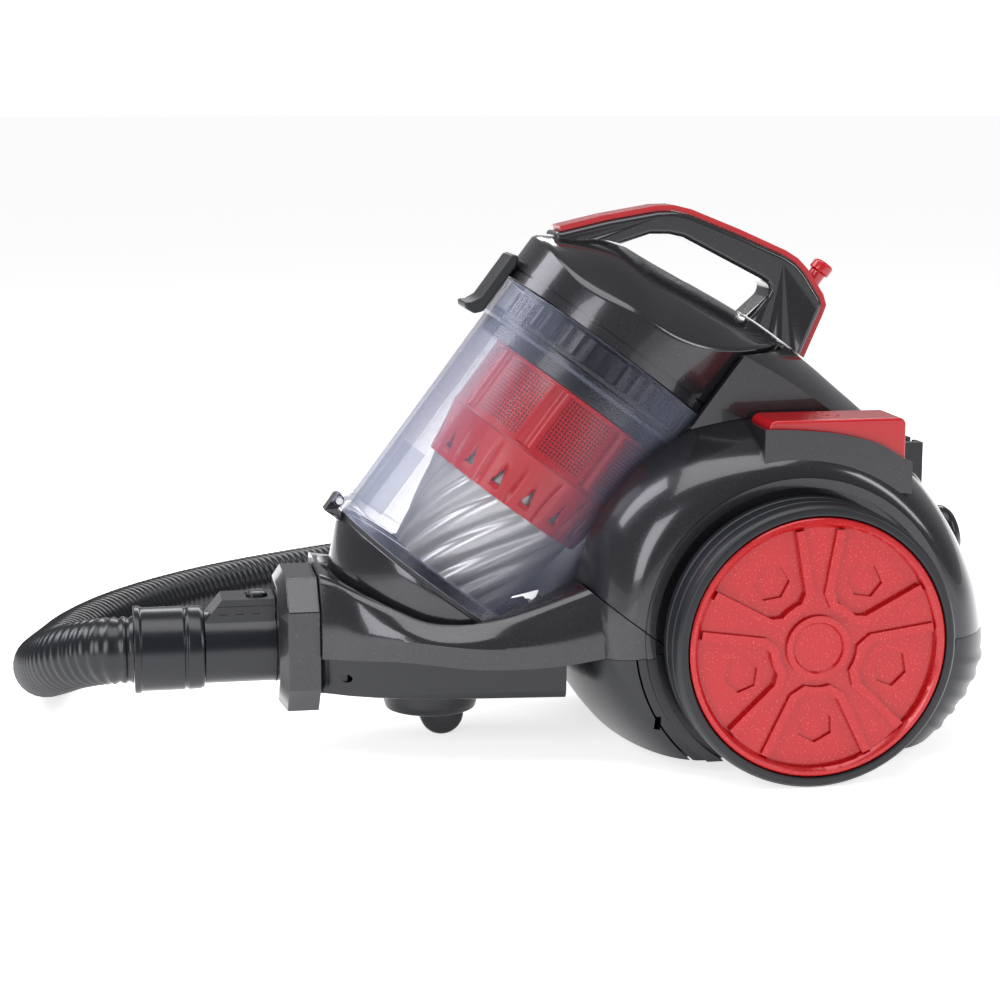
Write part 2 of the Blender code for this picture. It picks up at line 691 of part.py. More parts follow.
def bin_cup():
    inner = BIN_R - BIN_WALL
    outline = [(inner, 0.0), (RING_R, 0.0), (RING_R, 0.006), (BIN_R, 0.0075), (BIN_R, 0.1365),
               (RING_R, 0.1385), (RING_R, BIN_H), (inner, BIN_H)]
    made = in_bin(turned("bin_cup", outline, clear_plastic(), 32))
    wall = -BIN_R + 0.0005
    outline = [(PIN_X - 0.003, PIN_H - 0.003), (wall, PIN_H - 0.003), (wall, PIN_H + 0.009),
               (PIN_X - 0.003, PIN_H + 0.003)]
    for i, near in enumerate((-0.0105, 0.006)):
        ear = in_bin(prism(f"bin_ear_{i}", outline, near, near + 0.0045, clear_plastic()))
        combine(made, ear, "UNION")
    return combine(made, hinge_bore("ear_bore"))


def bin_lid():
    top = -0.0030
    rings = [lid_ring(0.058, 0.004, -0.002), flat_ring(BIN_R - 0.0045, top), flat_ring(BIN_R - 0.0010, top),
             flat_ring(BIN_R - 0.0010, top - 0.004), lid_ring(0.0615, 0.004, -0.0015),
             lid_ring(0.058, 0.004, 0.0)]
    made = in_bin(loft("bin_lid", rings, gunmetal()))
    crest = [math.radians(180 - 30 * i) for i in range(7)]
    outline = [(PIN_X + 0.003 * math.cos(a), PIN_H + 0.003 * math.sin(a)) for a in crest]
    outline += [(PIN_X + 0.003, top + 0.0018), (-BIN_R - GAP, top + 0.0018),
               (-BIN_R - GAP, top - 0.0005), (-BIN_R + 0.003, top - 0.0005),
               (-BIN_R + 0.003, top - 0.003), (PIN_X - 0.003, top - 0.003)]
    knuckle = in_bin(prism("lid_knuckle", outline, -0.0055, 0.0055, gunmetal()))
    combine(made, knuckle, "UNION")
    return combine(made, hinge_bore("knuckle_bore"))


def bin_small_pieces():
    at_hinge(round_bar("lid_pin", PIN_R, -0.0105, 0.0105, steel(), 16))
    outline = [(BIN_R - 0.0015, -GAP), (BIN_R - 0.0015, -0.0030 + GAP),
               (BIN_R - 0.0042, -0.0030 + GAP), (BIN_R - 0.0042, -GAP)]
    in_bin(turned("lid_seal", outline, rubber(), 28))


def cyclone():
    """Separator inside the bin: sealing flange, perforated shroud, its lower cup and the swirl cone."""
    flange = BIN_R - BIN_WALL - 0.0015
    outline = [(flange, 0.1415), (flange, 0.1285), (0.046, 0.1285), (0.046, 0.1415)]
    in_bin(turned("cyclone_flange", outline, black_plastic(), 32))
    outline = [(flange + 0.0012, 0.1440), (flange + 0.0012, 0.1418), (0.056, 0.1418), (0.056, 0.1440)]
    in_bin(turned("cyclone_seal", outline, rubber(), 32))
    inner = SHROUD_R - 0.002
    outline = [(SHROUD_R, 0.1282), (SHROUD_R, 0.0880), (inner, 0.0880), (inner, 0.1282)]
    in_bin(turned("shroud", outline, red_plastic(), 28))
    outline = [(SHROUD_R, 0.0877), (SHROUD_R - 0.0055, 0.0575), (SHROUD_R - 0.0080, 0.0575),
               (SHROUD_R - 0.0025, 0.0877)]
    in_bin(turned("shroud_cup", outline, red_plastic(), 28))
    outline = [(0.046, 0.1280), (0.047, 0.0585), (0.036, 0.004), (0.033, 0.004), (0.044, 0.0585),
               (0.043, 0.1280)]
    in_bin(turned("swirl_cone", outline, silver_plastic(), 24))
    fin = in_bin(block("dust_baffle", (-0.0655, -0.001, 0.010), (-0.0505, 0.001, 0.052), clear_plastic()))
    return fin


def head_rings(grow, bottom, steps=32):
    """Rings up the head's side and in over its crowned top."""
    def top_height(x, y):
        h = 0.15
        for _ in range(40):
            place = BIN_FOOT + BIN_AXIS * h + BIN_BACK * x
            h += 0.45 * (crown(place.x, y, grow) - place.z)
        return h

    radius = HEAD_R + grow
    rings = [flat_ring(radius, bottom, steps)]
    for share in (1.0, 0.965, 0.80, 0.50, 0.18):
        ring = []
        for x, y, _ in flat_ring(radius * share, 0.0, steps):
            drop = 0.0018 if share == 1.0 else 0.0
            ring.append((x, y, top_height(x, y) - drop))
        rings.append(ring)
    return rings


def cyclone_head():
    bottom = BIN_H + GAP * 2
    made = in_bin(loft("cyclone_head", head_rings(0.0, bottom), gunmetal()))
    hollow = head_rings(-WALL, bottom - 0.01)
    return combine(made, in_bin(loft("head_hollow", hollow, black_plastic())))


def filters():
    radius = HEAD_R - WALL - 0.001
    foot = BIN_H + 0.0035
    outline = [(radius, foot + 0.0085), (radius, foot), (radius - 0.008, foot),
               (radius - 0.008, foot + 0.0015), (radius - 0.003, foot + 0.0015), (radius - 0.003, foot + 0.0085)]
    in_bin(turned("filter_frame", outline, black_plastic(), 28))
    in_bin(round_bar("motor_filter", radius - 0.0035, foot + 0.0019, foot + 0.0110, foam(), 28))


def top_latch():
    """Sprung catch at the front that holds the head on the cup."""
    x = -HEAD_R - 0.0008
    outline = [(x, 0.136), (x - 0.0035, 0.132), (x - 0.0095, 0.1315), (x - 0.0115, 0.134),
               (x - 0.0085, 0.1365), (x - 0.0060, 0.142), (x - 0.0060, 0.1695), (x - 0.0045, 0.172),
               (x - 0.0020, 0.172), (x, 0.1675)]
    return in_bin(prism("top_latch", outline, -0.0135, 0.0135, black_plastic(), 0.0008))


def crown_tool(name, grow):
    rings = []
    for x in [-0.075 + 0.011 * i for i in range(20)]:
        top = [(x, y, crown(x, y, grow)) for y in (-0.04, -0.025, -0.012, 0.0, 0.012, 0.025, 0.04)]
        rings.append([(x, -0.04, top[0][2] - 0.06)] + top + [(x, 0.04, top[0][2] - 0.06)])
    return loft(name, rings, black_plastic())


SPINE = [(-0.0453, 0.2903), (-0.0195, 0.2962), (0.0100, 0.3012), (0.0200, 0.3014), (0.0300, 0.2990),
         (0.0580, 0.2877), (0.0860, 0.2752), (0.0930, 0.2708), (0.0990, 0.2645), (0.1085, 0.2500),
         (0.1103, 0.2440), (0.1085, 0.2390), (0.0970, 0.2127)]
GRIP = [(-0.013, 0.2795), (0.0055, 0.2854), (0.0165, 0.2853), (0.0247, 0.2835), (0.0703, 0.2597),
        (0.0757, 0.2562), (0.0753, 0.2505), (0.0590, 0.2360)]
STRIPE_T = 0.0030


def handle():
    lower = offset_line(SPINE, STRIPE_T + GAP)
    outline = [(-0.0490, 0.2872)] + lower + [(0.090, 0.200)] + list(reversed(GRIP))
    outline.append((-0.047, 0.2780))
    made = prism("handle", outline, -0.0145, 0.0145, gunmetal(), 0.0022)
    combine(made, crown_tool("handle_seat", 4 * GAP))
    tail = button_tool("handle_button_bore", 0.0052)
    return combine(made, tail)


BUTTON = Vector((0.1040, 0.0, 0.2563))


def button_tool(name, radius):
    made = round_bar(name, radius, -0.011, 0.03, black_plastic(), 20)
    made.location = BUTTON
    made.rotation_euler = (0.0, BIN_TILT, 0.0)
    return made


def handle_stripe():
    outline = SPINE + list(reversed(offset_line(SPINE, STRIPE_T)))
    made = prism("handle_stripe", outline, -0.0105, 0.0105, red_plastic(), 0.0008)
    combine(made, crown_tool("stripe_seat", 0.001))
    return combine(made, button_tool("stripe_bore", 0.0052))


def release_button():
    outline = [(0.0, 0.0135), (0.0052, 0.0135), (0.0062, 0.0125), (0.0062, 0.0074), (0.0047, 0.0070),
               (0.0047, -0.0060), (0.0, -0.0060)]
    made = turned("release_button", outline, red_plastic(), 16)
    made.location = BUTTON
    made.rotation_euler = (0.0, BIN_TILT, 0.0)
    return made


# ---------------------------------------------------------------- hose
CONNECTOR_END = COLLAR_FRONT - CONNECTOR_LEN
CUFF_END = CONNECTOR_END - CUFF_LEN
# Route of the hose's middle, from the cuff to the grip at its far end.
ROUTE = [(CUFF_END - GAP, 0.0, PIPE_Z), (CUFF_END - 0.009, 0.0, PIPE_Z),
         (-0.305, 0.005, 0.0545), (-0.318, 0.018, 0.0495), (-0.328, 0.037, 0.0420),
         (-0.335, 0.066, 0.0330), (-0.337, 0.101, 0.0250),
         (-0.332, 0.143, 0.0200), (-0.319, 0.190, 0.0192), (-0.297, 0.235, 0.0192),
         (-0.264, 0.280, 0.0192), (-0.221, 0.322, 0.0192), (-0.168, 0.360, 0.0192),
         (-0.105, 0.398, 0.0192), (-0.038, 0.436, 0.0192), (0.034, 0.464, 0.0192),
         (0.104, 0.475, 0.0192), (0.157, 0.466, 0.0192), (0.211, 0.431, 0.0192),
         (0.242, 0.387, 0.0192), (0.256, 0.323, 0.0192), (0.242, 0.259, 0.0192),
         (0.211, 0.215, 0.0192), (0.157, 0.180, 0.0192), (0.104, 0.171, 0.0192),
         (0.050, 0.170, 0.0192), (0.000, 0.170, 0.0192), (-0.040, 0.170, 0.0192)]


def route_points(count):
    """The straight start, then even points on a smooth curve through the rest of the route."""
    fine = []
    last = len(ROUTE) - 1
    for i in range(1, last):
        p0, p1, p2, p3 = (Vector(ROUTE[min(last, k)]) for k in (i - 1, i, i + 1, i + 2))
        for step in range(12):
            t = step / 12
            fine.append(0.5 * (2 * p1 + (p2 - p0) * t + (2 * p0 - 5 * p1 + 4 * p2 - p3) * t**2
                               + (3 * p1 - p0 - 3 * p2 + p3) * t**3))
    fine.append(Vector(ROUTE[-1]))
    length = [0.0]
    for a, b in zip(fine, fine[1:]):
        length.append(length[-1] + (b - a).length)
    even = [Vector(ROUTE[0])]
    k = 0
    for i in range(count):
        want = length[-1] * i / (count - 1)
        while k < len(fine) - 2 and length[k + 1] < want:
            k += 1
        t = (want - length[k]) / (length[k + 1] - length[k])
        even.append(fine[k].lerp(fine[k + 1], min(t, 1.0)))
    return even


def hose_tube():
    points = route_points(48)
    curve = bpy.data.curves.new("hose_tube", "CURVE")
    curve.dimensions = "3D"
    curve.bevel_depth = HOSE_D / 2
    curve.bevel_resolution = 3
    curve.use_fill_caps = True
    line = curve.splines.new("POLY")
    line.points.add(len(points) - 1)
    for slot, place in zip(line.points, points):
        slot.co = (*place, 1.0)
    made = bpy.data.objects.new("hose_tube", curve)
    bpy.context.collection.objects.link(made)
    curve.materials.append(rubber())
    return points


def hose_connector():
    """Rigid end that plugs into the collar, with its pod and catch button."""
    bore = PIPE_R - 0.0035
    spigot = 0.020
    plug = PIPE_R - 0.0008
    total = CONNECTOR_LEN + spigot
    outline = [(plug, total), (plug, CONNECTOR_LEN + 0.0006), (PIPE_R, CONNECTOR_LEN - 0.0006),
               (PIPE_R, 0.0), (bore, 0.0), (bore, total)]
    made = turned("hose_connector", outline, black_plastic(), 28)
    along_x(made, (CONNECTOR_END + GAP, 0.0, PIPE_Z))
    x0 = CONNECTOR_END + 0.001
    x1 = COLLAR_FRONT - GAP * 2
    z0, z1 = PIPE_Z + 0.010, PIPE_Z + 0.029
    outline = [(x0, z0), (x1, z0), (x1, z1), (x0 + 0.009, z1), (x0, PIPE_Z + 0.018)]
    combine(made, prism("connector_pod", outline, -0.0125, 0.0125, black_plastic()), "UNION")
    low, high = (x1 - 0.0155, -0.007, z1 - 0.0075), (x1 - 0.0035, 0.007, z1 + 0.01)
    combine(made, block("button_room", low, high, black_plastic()))
    bore_tool = round_bar("connector_bore", bore, -0.01, 0.08, black_plastic(), 28)
    combine(made, along_x(bore_tool, (CONNECTOR_END, 0.0, PIPE_Z)))
    low, high = (x1 - 0.0150, -0.0065, z1 - 0.0035), (x1 - 0.0040, 0.0065, z1 + 0.0025)
    return made, block("connector_button", low, high, black_plastic(), 0.0012)


def hose_cuff():
    rim = CUFF_R + 0.0010
    inner = HOSE_D / 2 - 0.003
    outline = [(CUFF_R - 0.001, CUFF_LEN - GAP), (CUFF_R, CUFF_LEN - 0.0015), (CUFF_R, 0.004),
               (rim, 0.003), (rim, 0.0), (inner, 0.0), (inner, CUFF_LEN - GAP)]
    made = turned("hose_cuff", outline, black_plastic(), 28)
    return along_x(made, (CUFF_END, 0.0, PIPE_Z))


def hose_grip(points):
    """Hand grip at the far end, lying on the floor past the last bend."""
    end, before = points[-1], points[-2]
    way = (end - before).normalized()
    outline = [(0.0165, 0.110), (0.0190, 0.070), (0.0190, 0.0), (0.0150, 0.0), (0.0150, 0.110)]
    made = turned("hose_grip", outline, black_plastic(), 24)
    made.location = end + way * GAP
    made.rotation_euler = way.to_track_quat("Z", "Y").to_euler()
    return made


# ---------------------------------------------------------------- build
rear_shell()
deck_cover()
base_pan()
lower_housing()
top_cover()
bin_cradle()
inlet_collar()
inlet_duct()
for side, flip in (("near", -1), ("far", 1)):
    axle(side, flip)
    pedal({"near": "power", "far": "rewind"}[side], flip)
    wheel(side, flip)
motor_pieces()
cord_reel()
exhaust_pieces()
cord_gland()
parking_bracket()
caster()
bin_cup()
bin_lid()
bin_small_pieces()
cyclone()
cyclone_head()
filters()
top_latch()
handle()
handle_stripe()
release_button()
points = hose_tube()
hose_connector()
hose_cuff()
hose_grip(points)
for piece in bpy.data.objects:
    if piece.parent is None:
        piece.matrix_world = Matrix.Translation((CENTRE, 0.0, 0.0)) @ piece.matrix_basis
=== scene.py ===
"""Bagless canister vacuum cleaner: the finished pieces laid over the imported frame.

Metres, +Z up, hose inlet towards -X. Shapes are drawn about the middle of the deck, which
lies MIDDLE along +X from the frame's origin, and the bin's pieces in the bin's tilted frame.
"""

import math

import bmesh
import bpy
from mathutils import Matrix, Vector


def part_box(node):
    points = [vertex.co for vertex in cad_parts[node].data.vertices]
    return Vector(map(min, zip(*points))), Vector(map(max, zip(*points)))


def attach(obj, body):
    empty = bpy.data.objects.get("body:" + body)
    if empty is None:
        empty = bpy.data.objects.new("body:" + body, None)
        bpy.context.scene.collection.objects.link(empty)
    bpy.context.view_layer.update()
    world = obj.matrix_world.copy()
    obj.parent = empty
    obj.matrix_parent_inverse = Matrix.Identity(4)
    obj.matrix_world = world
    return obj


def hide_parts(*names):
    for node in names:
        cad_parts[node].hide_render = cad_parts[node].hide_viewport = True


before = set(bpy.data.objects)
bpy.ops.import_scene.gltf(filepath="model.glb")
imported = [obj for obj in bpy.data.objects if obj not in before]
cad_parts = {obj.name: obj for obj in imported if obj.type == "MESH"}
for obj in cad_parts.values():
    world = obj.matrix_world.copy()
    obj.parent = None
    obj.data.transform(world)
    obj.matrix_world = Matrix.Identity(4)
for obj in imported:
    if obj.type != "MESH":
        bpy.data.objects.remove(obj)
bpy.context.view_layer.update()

# ---------------------------------------------------------------- view
# A long lens a little above the deck, seeing the near side from slightly in front. A pale
# floor, a wide soft light overhead, a tall one in front and a strip behind for the outlines.
right = Vector((0.9848, -0.1736, 0.0))
up = Vector((0.0301, 0.1710, 0.9848))
ahead = Vector((0.1710, 0.9698, -0.1736))
lens = bpy.data.cameras.new("view")
lens.lens = 81.19
lens.sensor_width = 36.0
lens.clip_start = 0.05
view = bpy.data.objects.new("view", lens)
view.matrix_world = Matrix((
    (right.x, up.x, -ahead.x, -0.2926),
    (right.y, up.y, -ahead.y, -1.247),
    (right.z, up.z, -ahead.z, 0.358),
    (0.0, 0.0, 0.0, 1.0)))
bpy.context.scene.collection.objects.link(view)
bpy.context.scene.camera = view
bpy.context.scene.view_settings.view_transform = "Standard"


def soft_light(name, place, target, size, power, tint=(1.0, 1.0, 1.0)):
    lamp = bpy.data.lights.new(name, "AREA")
    lamp.shape = "RECTANGLE"
    lamp.size, lamp.size_y = size
    lamp.energy = power
    lamp.color = tint
    made = bpy.data.objects.new(name, lamp)
    made.location = place
    way = Vector(target) - Vector(place)
    made.rotation_euler = way.to_track_quat("-Z", "Y").to_euler()
    bpy.context.scene.collection.objects.link(made)


soft_light("overhead", (-0.1, -0.25, 1.5), (0.0, 0.0, 0.1), (1.3, 0.9), 12.0)
soft_light("front_panel", (-1.25, -1.25, 0.75), (0.0, 0.0, 0.12), (0.7, 1.1), 14.0, (0.97, 0.97, 1.0))
soft_light("high_front", (-1.1, 0.45, 1.25), (0.0, 0.0, 0.15), (0.7, 0.9), 12.0, (0.94, 0.94, 1.0))
soft_light("side_strip", (1.3, -0.9, 0.9), (0.05, 0.0, 0.12), (0.35, 1.0), 8.0)
soft_light("back_strip", (0.2, 1.3, 1.0), (0.0, 0.0, 0.15), (1.2, 0.4), 8.0)

air = bpy.data.worlds.new("pale_room")
air.use_nodes = True
air.node_tree.nodes["Background"].inputs["Color"].default_value = (0.93, 0.93, 0.96, 1.0)
air.node_tree.nodes["Background"].inputs["Strength"].default_value = 0.30
seen = air.node_tree.nodes.new("ShaderNodeBackground")
seen.inputs["Color"].default_value = (1.0, 1.0, 1.0, 1.0)
seen.inputs["Strength"].default_value = 1.1
rays = air.node_tree.nodes.new("ShaderNodeLightPath")
either = air.node_tree.nodes.new("ShaderNodeMixShader")
air.node_tree.links.new(rays.outputs["Is Camera Ray"], either.inputs[0])
air.node_tree.links.new(air.node_tree.nodes["Background"].outputs[0], either.inputs[1])
air.node_tree.links.new(seen.outputs[0], either.inputs[2])
air.node_tree.links.new(either.outputs[0], air.node_tree.nodes["World Output"].inputs[0])
bpy.context.scene.world = air

floor_mesh = bpy.data.meshes.new("floor")
floor_mesh.from_pydata([(-60, -60, 0), (60, -60, 0), (60, 60, 0), (-60, 60, 0)], [], [(0, 1, 2, 3)])
floor = bpy.data.objects.new("floor", floor_mesh)
bpy.context.scene.collection.objects.link(floor)
floor_paint = bpy.data.materials.new("floor_paint")
floor_paint.use_nodes = True
floor_paint.node_tree.nodes["Principled BSDF"].inputs["Base Color"].default_value = (0.93, 0.93, 0.94, 1)
floor_paint.node_tree.nodes["Principled BSDF"].inputs["Roughness"].default_value = 0.75
floor_paint.node_tree.nodes["Principled BSDF"].inputs["Emission Color"].default_value = (1.0, 1.0, 1.0, 1.0)
floor_paint.node_tree.nodes["Principled BSDF"].inputs["Emission Strength"].default_value = 0.7
floor.data.materials.append(floor_paint)

# ---------------------------------------------------------------- hose
# Corrugated suction hose, blow-moulded black plastic with a rib every 5 mm, running from its
# cuff round behind the machine to a hand grip that lies on the floor.
MIDDLE = 0.0044
GAP = 0.0003
NOSE_X = -0.1838
PIPE_Z = 0.056
PIPE_R = 0.0205
COLLAR_LEN = 0.0224
COLLAR_FRONT = NOSE_X - GAP - COLLAR_LEN
CONNECTOR_LEN = 0.040
CONNECTOR_END = COLLAR_FRONT - CONNECTOR_LEN
CUFF_LEN = 0.039
CUFF_R = 0.0235
CUFF_END = CONNECTOR_END - CUFF_LEN
HOSE_D = 0.038
RIB_PITCH = 0.0052
RIB_DEPTH = 0.0014
ROUTE = [(CUFF_END - GAP, 0.0, PIPE_Z), (CUFF_END - 0.009, 0.0, PIPE_Z),
         (-0.305, 0.005, 0.0545), (-0.318, 0.018, 0.0495), (-0.328, 0.037, 0.0420),
         (-0.335, 0.066, 0.0330), (-0.337, 0.101, 0.0250), (-0.332, 0.143, 0.0200),
         (-0.319, 0.190, 0.0192), (-0.297, 0.235, 0.0192), (-0.264, 0.280, 0.0192),
         (-0.221, 0.322, 0.0192), (-0.168, 0.360, 0.0192), (-0.105, 0.398, 0.0192),
         (-0.038, 0.436, 0.0192), (0.034, 0.464, 0.0192), (0.104, 0.475, 0.0192),
         (0.157, 0.466, 0.0192), (0.211, 0.431, 0.0192), (0.242, 0.387, 0.0192),
         (0.256, 0.323, 0.0192), (0.242, 0.259, 0.0192), (0.211, 0.215, 0.0192),
         (0.157, 0.180, 0.0192), (0.104, 0.171, 0.0192), (0.050, 0.170, 0.0192),
         (0.000, 0.170, 0.0192), (-0.040, 0.170, 0.0192)]


def grain_group():
    """Fine moulded grain and uneven gloss, from the piece's own coordinates."""
    group = bpy.data.node_groups.new("moulded_grain", "ShaderNodeTree")
    for label, value in (("Grain Size", 900.0), ("Gloss", 0.3), ("Unevenness", 0.08)):
        group.interface.new_socket(label, in_out="INPUT", socket_type="NodeSocketFloat").default_value = value
    group.interface.new_socket("Roughness", in_out="OUTPUT", socket_type="NodeSocketFloat")
    group.interface.new_socket("Height", in_out="OUTPUT", socket_type="NodeSocketFloat")
    add, link = group.nodes.new, group.links.new
    given, result = add("NodeGroupInput"), add("NodeGroupOutput")
    place = add("ShaderNodeTexCoord")
    fine = add("ShaderNodeTexNoise")
    fine.inputs["Detail"].default_value = 2.0
    link(place.outputs["Object"], fine.inputs["Vector"])
    link(given.outputs["Grain Size"], fine.inputs["Scale"])
    cloud = add("ShaderNodeTexNoise")
    cloud.inputs["Scale"].default_value = 38.0
    cloud.inputs["Detail"].default_value = 5.0
    link(place.outputs["Object"], cloud.inputs["Vector"])
    centred = add("ShaderNodeMath")
    centred.operation = "SUBTRACT"
    centred.inputs[1].default_value = 0.5
    link(cloud.outputs["Fac"], centred.inputs[0])
    spread = add("ShaderNodeMath")
    spread.operation = "MULTIPLY_ADD"
    link(centred.outputs[0], spread.inputs[0])
    link(given.outputs["Unevenness"], spread.inputs[1])
    link(given.outputs["Gloss"], spread.inputs[2])
    link(spread.outputs[0], result.inputs["Roughness"])
    link(fine.outputs["Fac"], result.inputs["Height"])
    return group


def flake_group():
    """Paint colour with scattered bright flakes and slow drifts of tone."""
    group = bpy.data.node_groups.new("flake_colour", "ShaderNodeTree")
    for label, value in (("Colour", (0.1, 0.1, 0.1, 1.0)), ("Flake", (0.5, 0.5, 0.5, 1.0))):
        group.interface.new_socket(label, in_out="INPUT", socket_type="NodeSocketColor").default_value = value
    for label, value in (("Flake Size", 2500.0), ("Share", 0.12), ("Drift", 0.12)):
        group.interface.new_socket(label, in_out="INPUT", socket_type="NodeSocketFloat").default_value = value
    group.interface.new_socket("Colour", in_out="OUTPUT", socket_type="NodeSocketColor")
    add, link = group.nodes.new, group.links.new
    given, result = add("NodeGroupInput"), add("NodeGroupOutput")
    place = add("ShaderNodeTexCoord")
    cells = add("ShaderNodeTexVoronoi")
    link(place.outputs["Object"], cells.inputs["Vector"])
    link(given.outputs["Flake Size"], cells.inputs["Scale"])
    split = add("ShaderNodeSeparateColor")
    link(cells.outputs["Color"], split.inputs[0])
    chosen = add("ShaderNodeMath")
    chosen.operation = "LESS_THAN"
    link(split.outputs[0], chosen.inputs[0])
    link(given.outputs["Share"], chosen.inputs[1])
    weight = add("ShaderNodeMath")
    weight.operation = "MULTIPLY"
    link(chosen.outputs[0], weight.inputs[0])
    link(split.outputs[1], weight.inputs[1])
    flecked = add("ShaderNodeMix")
    flecked.data_type = "RGBA"
    link(weight.outputs[0], flecked.inputs["Factor"])
    link(given.outputs["Colour"], flecked.inputs["A"])
    link(given.outputs["Flake"], flecked.inputs["B"])
    drift = add("ShaderNodeTexNoise")
    drift.inputs["Scale"].default_value = 22.0
    drift.inputs["Detail"].default_value = 3.0
    link(place.outputs["Object"], drift.inputs["Vector"])
    swing = add("ShaderNodeMath")
    swing.operation = "MULTIPLY_ADD"
    swing.inputs[2].default_value = 1.0
    centred = add("ShaderNodeMath")
    centred.operation = "SUBTRACT"
    centred.inputs[1].default_value = 0.5
    link(drift.outputs["Fac"], centred.inputs[0])
    link(centred.outputs[0], swing.inputs[0])
    link(given.outputs["Drift"], swing.inputs[1])
    scaled = add("ShaderNodeVectorMath")
    scaled.operation = "SCALE"
    link(flecked.outputs["Result"], scaled.inputs[0])
    link(swing.outputs[0], scaled.inputs["Scale"])
    link(scaled.outputs[0], result.inputs["Colour"])
    return group


MOULDED_GRAIN = grain_group()
FLAKE_COLOUR = flake_group()


def plastic(name, colour, gloss, grain=0.02, grain_size=900.0, flake=None, share=0.0, metallic=0.0,
            coat=0.0, drift=0.10, uneven=0.06):
    """Moulded or painted plastic: flaked colour, uneven gloss and a fine grain."""
    made = bpy.data.materials.new(name)
    made.use_nodes = True
    tree = made.node_tree
    shader = tree.nodes["Principled BSDF"]
    shader.inputs["Metallic"].default_value = metallic
    shader.inputs["Coat Weight"].default_value = coat
    shader.inputs["Coat Roughness"].default_value = 0.04
    surface = tree.nodes.new("ShaderNodeGroup")
    surface.node_tree = MOULDED_GRAIN
    surface.inputs["Grain Size"].default_value = grain_size
    surface.inputs["Gloss"].default_value = gloss
    surface.inputs["Unevenness"].default_value = uneven
    paint = tree.nodes.new("ShaderNodeGroup")
    paint.node_tree = FLAKE_COLOUR
    paint.inputs["Colour"].default_value = (*colour, 1.0)
    paint.inputs["Flake"].default_value = (*(flake or colour), 1.0)
    paint.inputs["Share"].default_value = share
    paint.inputs["Drift"].default_value = drift
    bump = tree.nodes.new("ShaderNodeBump")
    bump.inputs["Strength"].default_value = grain
    bump.inputs["Distance"].default_value = 0.0003
    tree.links.new(paint.outputs["Colour"], shader.inputs["Base Color"])
    tree.links.new(surface.outputs["Roughness"], shader.inputs["Roughness"])
    tree.links.new(surface.outputs["Height"], bump.inputs["Height"])
    tree.links.new(bump.outputs["Normal"], shader.inputs["Normal"])
    return made


HOSE_BLACK = plastic("hose_black", (0.004, 0.005, 0.007), 0.28, 0.05, 1400.0, drift=0.3)


def piece(name, bm, finish, body, stands_for=(), sharp=35.0, at=None):
    """Make an object of a mesh, place it, parent it to its body and hide the CAD nodes it stands for."""
    bmesh.ops.remove_doubles(bm, verts=bm.verts, dist=1e-6)
    bmesh.ops.recalc_face_normals(bm, faces=bm.faces)
    mesh = bpy.data.meshes.new(name)
    bm.to_mesh(mesh)
    bm.free()
    mesh.shade_smooth()
    mesh.set_sharp_from_angle(angle=math.radians(sharp))
    made = bpy.data.objects.new(name, mesh)
    bpy.context.scene.collection.objects.link(made)
    made.matrix_world = Matrix.Translation((MIDDLE, 0.0, 0.0)) @ (at or Matrix.Identity(4))
    if finish:
        mesh.materials.append(finish)
    if body:
        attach(made, body)
    if stands_for:
        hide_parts(*stands_for)
    return made


def smooth_route(points, spacing):
    """Even points on a smooth curve through given ones, straight along the first two."""
    fine = [Vector(points[0])]
    last = len(points) - 1
    for i in range(1, last):
        p0, p1, p2, p3 = (Vector(points[min(last, k)]) for k in (i - 1, i, i + 1, i + 2))
        for step in range(40):
            t = step / 40
            fine.append(0.5 * (2 * p1 + (p2 - p0) * t + (2 * p0 - 5 * p1 + 4 * p2 - p3) * t**2
                               + (3 * p1 - p0 - 3 * p2 + p3) * t**3))
    fine.append(Vector(points[-1]))
    length = [0.0]
    for a, b in zip(fine, fine[1:]):
        length.append(length[-1] + (b - a).length)
    count = round(length[-1] / spacing) + 1
    even = []
    k = 0
    for i in range(count):
        want = length[-1] * i / (count - 1)
        while k < len(fine) - 2 and length[k + 1] < want:
            k += 1
        even.append(fine[k].lerp(fine[k + 1], min(1.0, (want - length[k]) / (length[k + 1] - length[k]))))
    return even


def swept_tube(path, radii, sides):
    """Closed tube along a path, with its own radius at each point and no twist."""
    bm = bmesh.new()
    rows = []
    across = Vector((0.0, 0.0, 1.0))
    for i, (here, radius) in enumerate(zip(path, radii)):
        way = (path[min(i + 1, len(path) - 1)] - path[max(i - 1, 0)]).normalized()
        across = (across - way * across.dot(way)).normalized()
        other = way.cross(across)
        rows.append([bm.verts.new(here + (across * math.cos(a) + other * math.sin(a)) * radius)
                     for a in (math.tau * k / sides for k in range(sides))])
    for low, high in zip(rows, rows[1:]):
        for k in range(sides):
            m = (k + 1) % sides
            bm.faces.new((low[k], low[m], high[m], high[k]))
    bm.faces.new(list(reversed(rows[0])))
    bm.faces.new(rows[-1])
    return bm


hose_path = smooth_route(ROUTE, RIB_PITCH / 4)
ribs = [HOSE_D / 2 - RIB_DEPTH * (0.5 - 0.5 * math.cos(math.tau * i / 4)) for i in range(len(hose_path))]
hose = piece("suction_hose", swept_tube(hose_path, ribs, 28), HOSE_BLACK, "hose", ["hose_tube"],
             60.0)


def turned(profile, steps):
    """Closed (radius, height) outline turned about Z."""
    bm = bmesh.new()
    corners = [bm.verts.new((r, 0.0, z)) for r, z in profile]
    edges = [bm.edges.new(pair) for pair in zip(corners, corners[1:] + corners[:1])
             if pair[0].co.x > 0 or pair[1].co.x > 0]
    bmesh.ops.spin(bm, geom=corners + edges, cent=(0, 0, 0), axis=(0, 0, 1),
                   angle=math.tau, steps=steps, use_merge=True)
    return bm


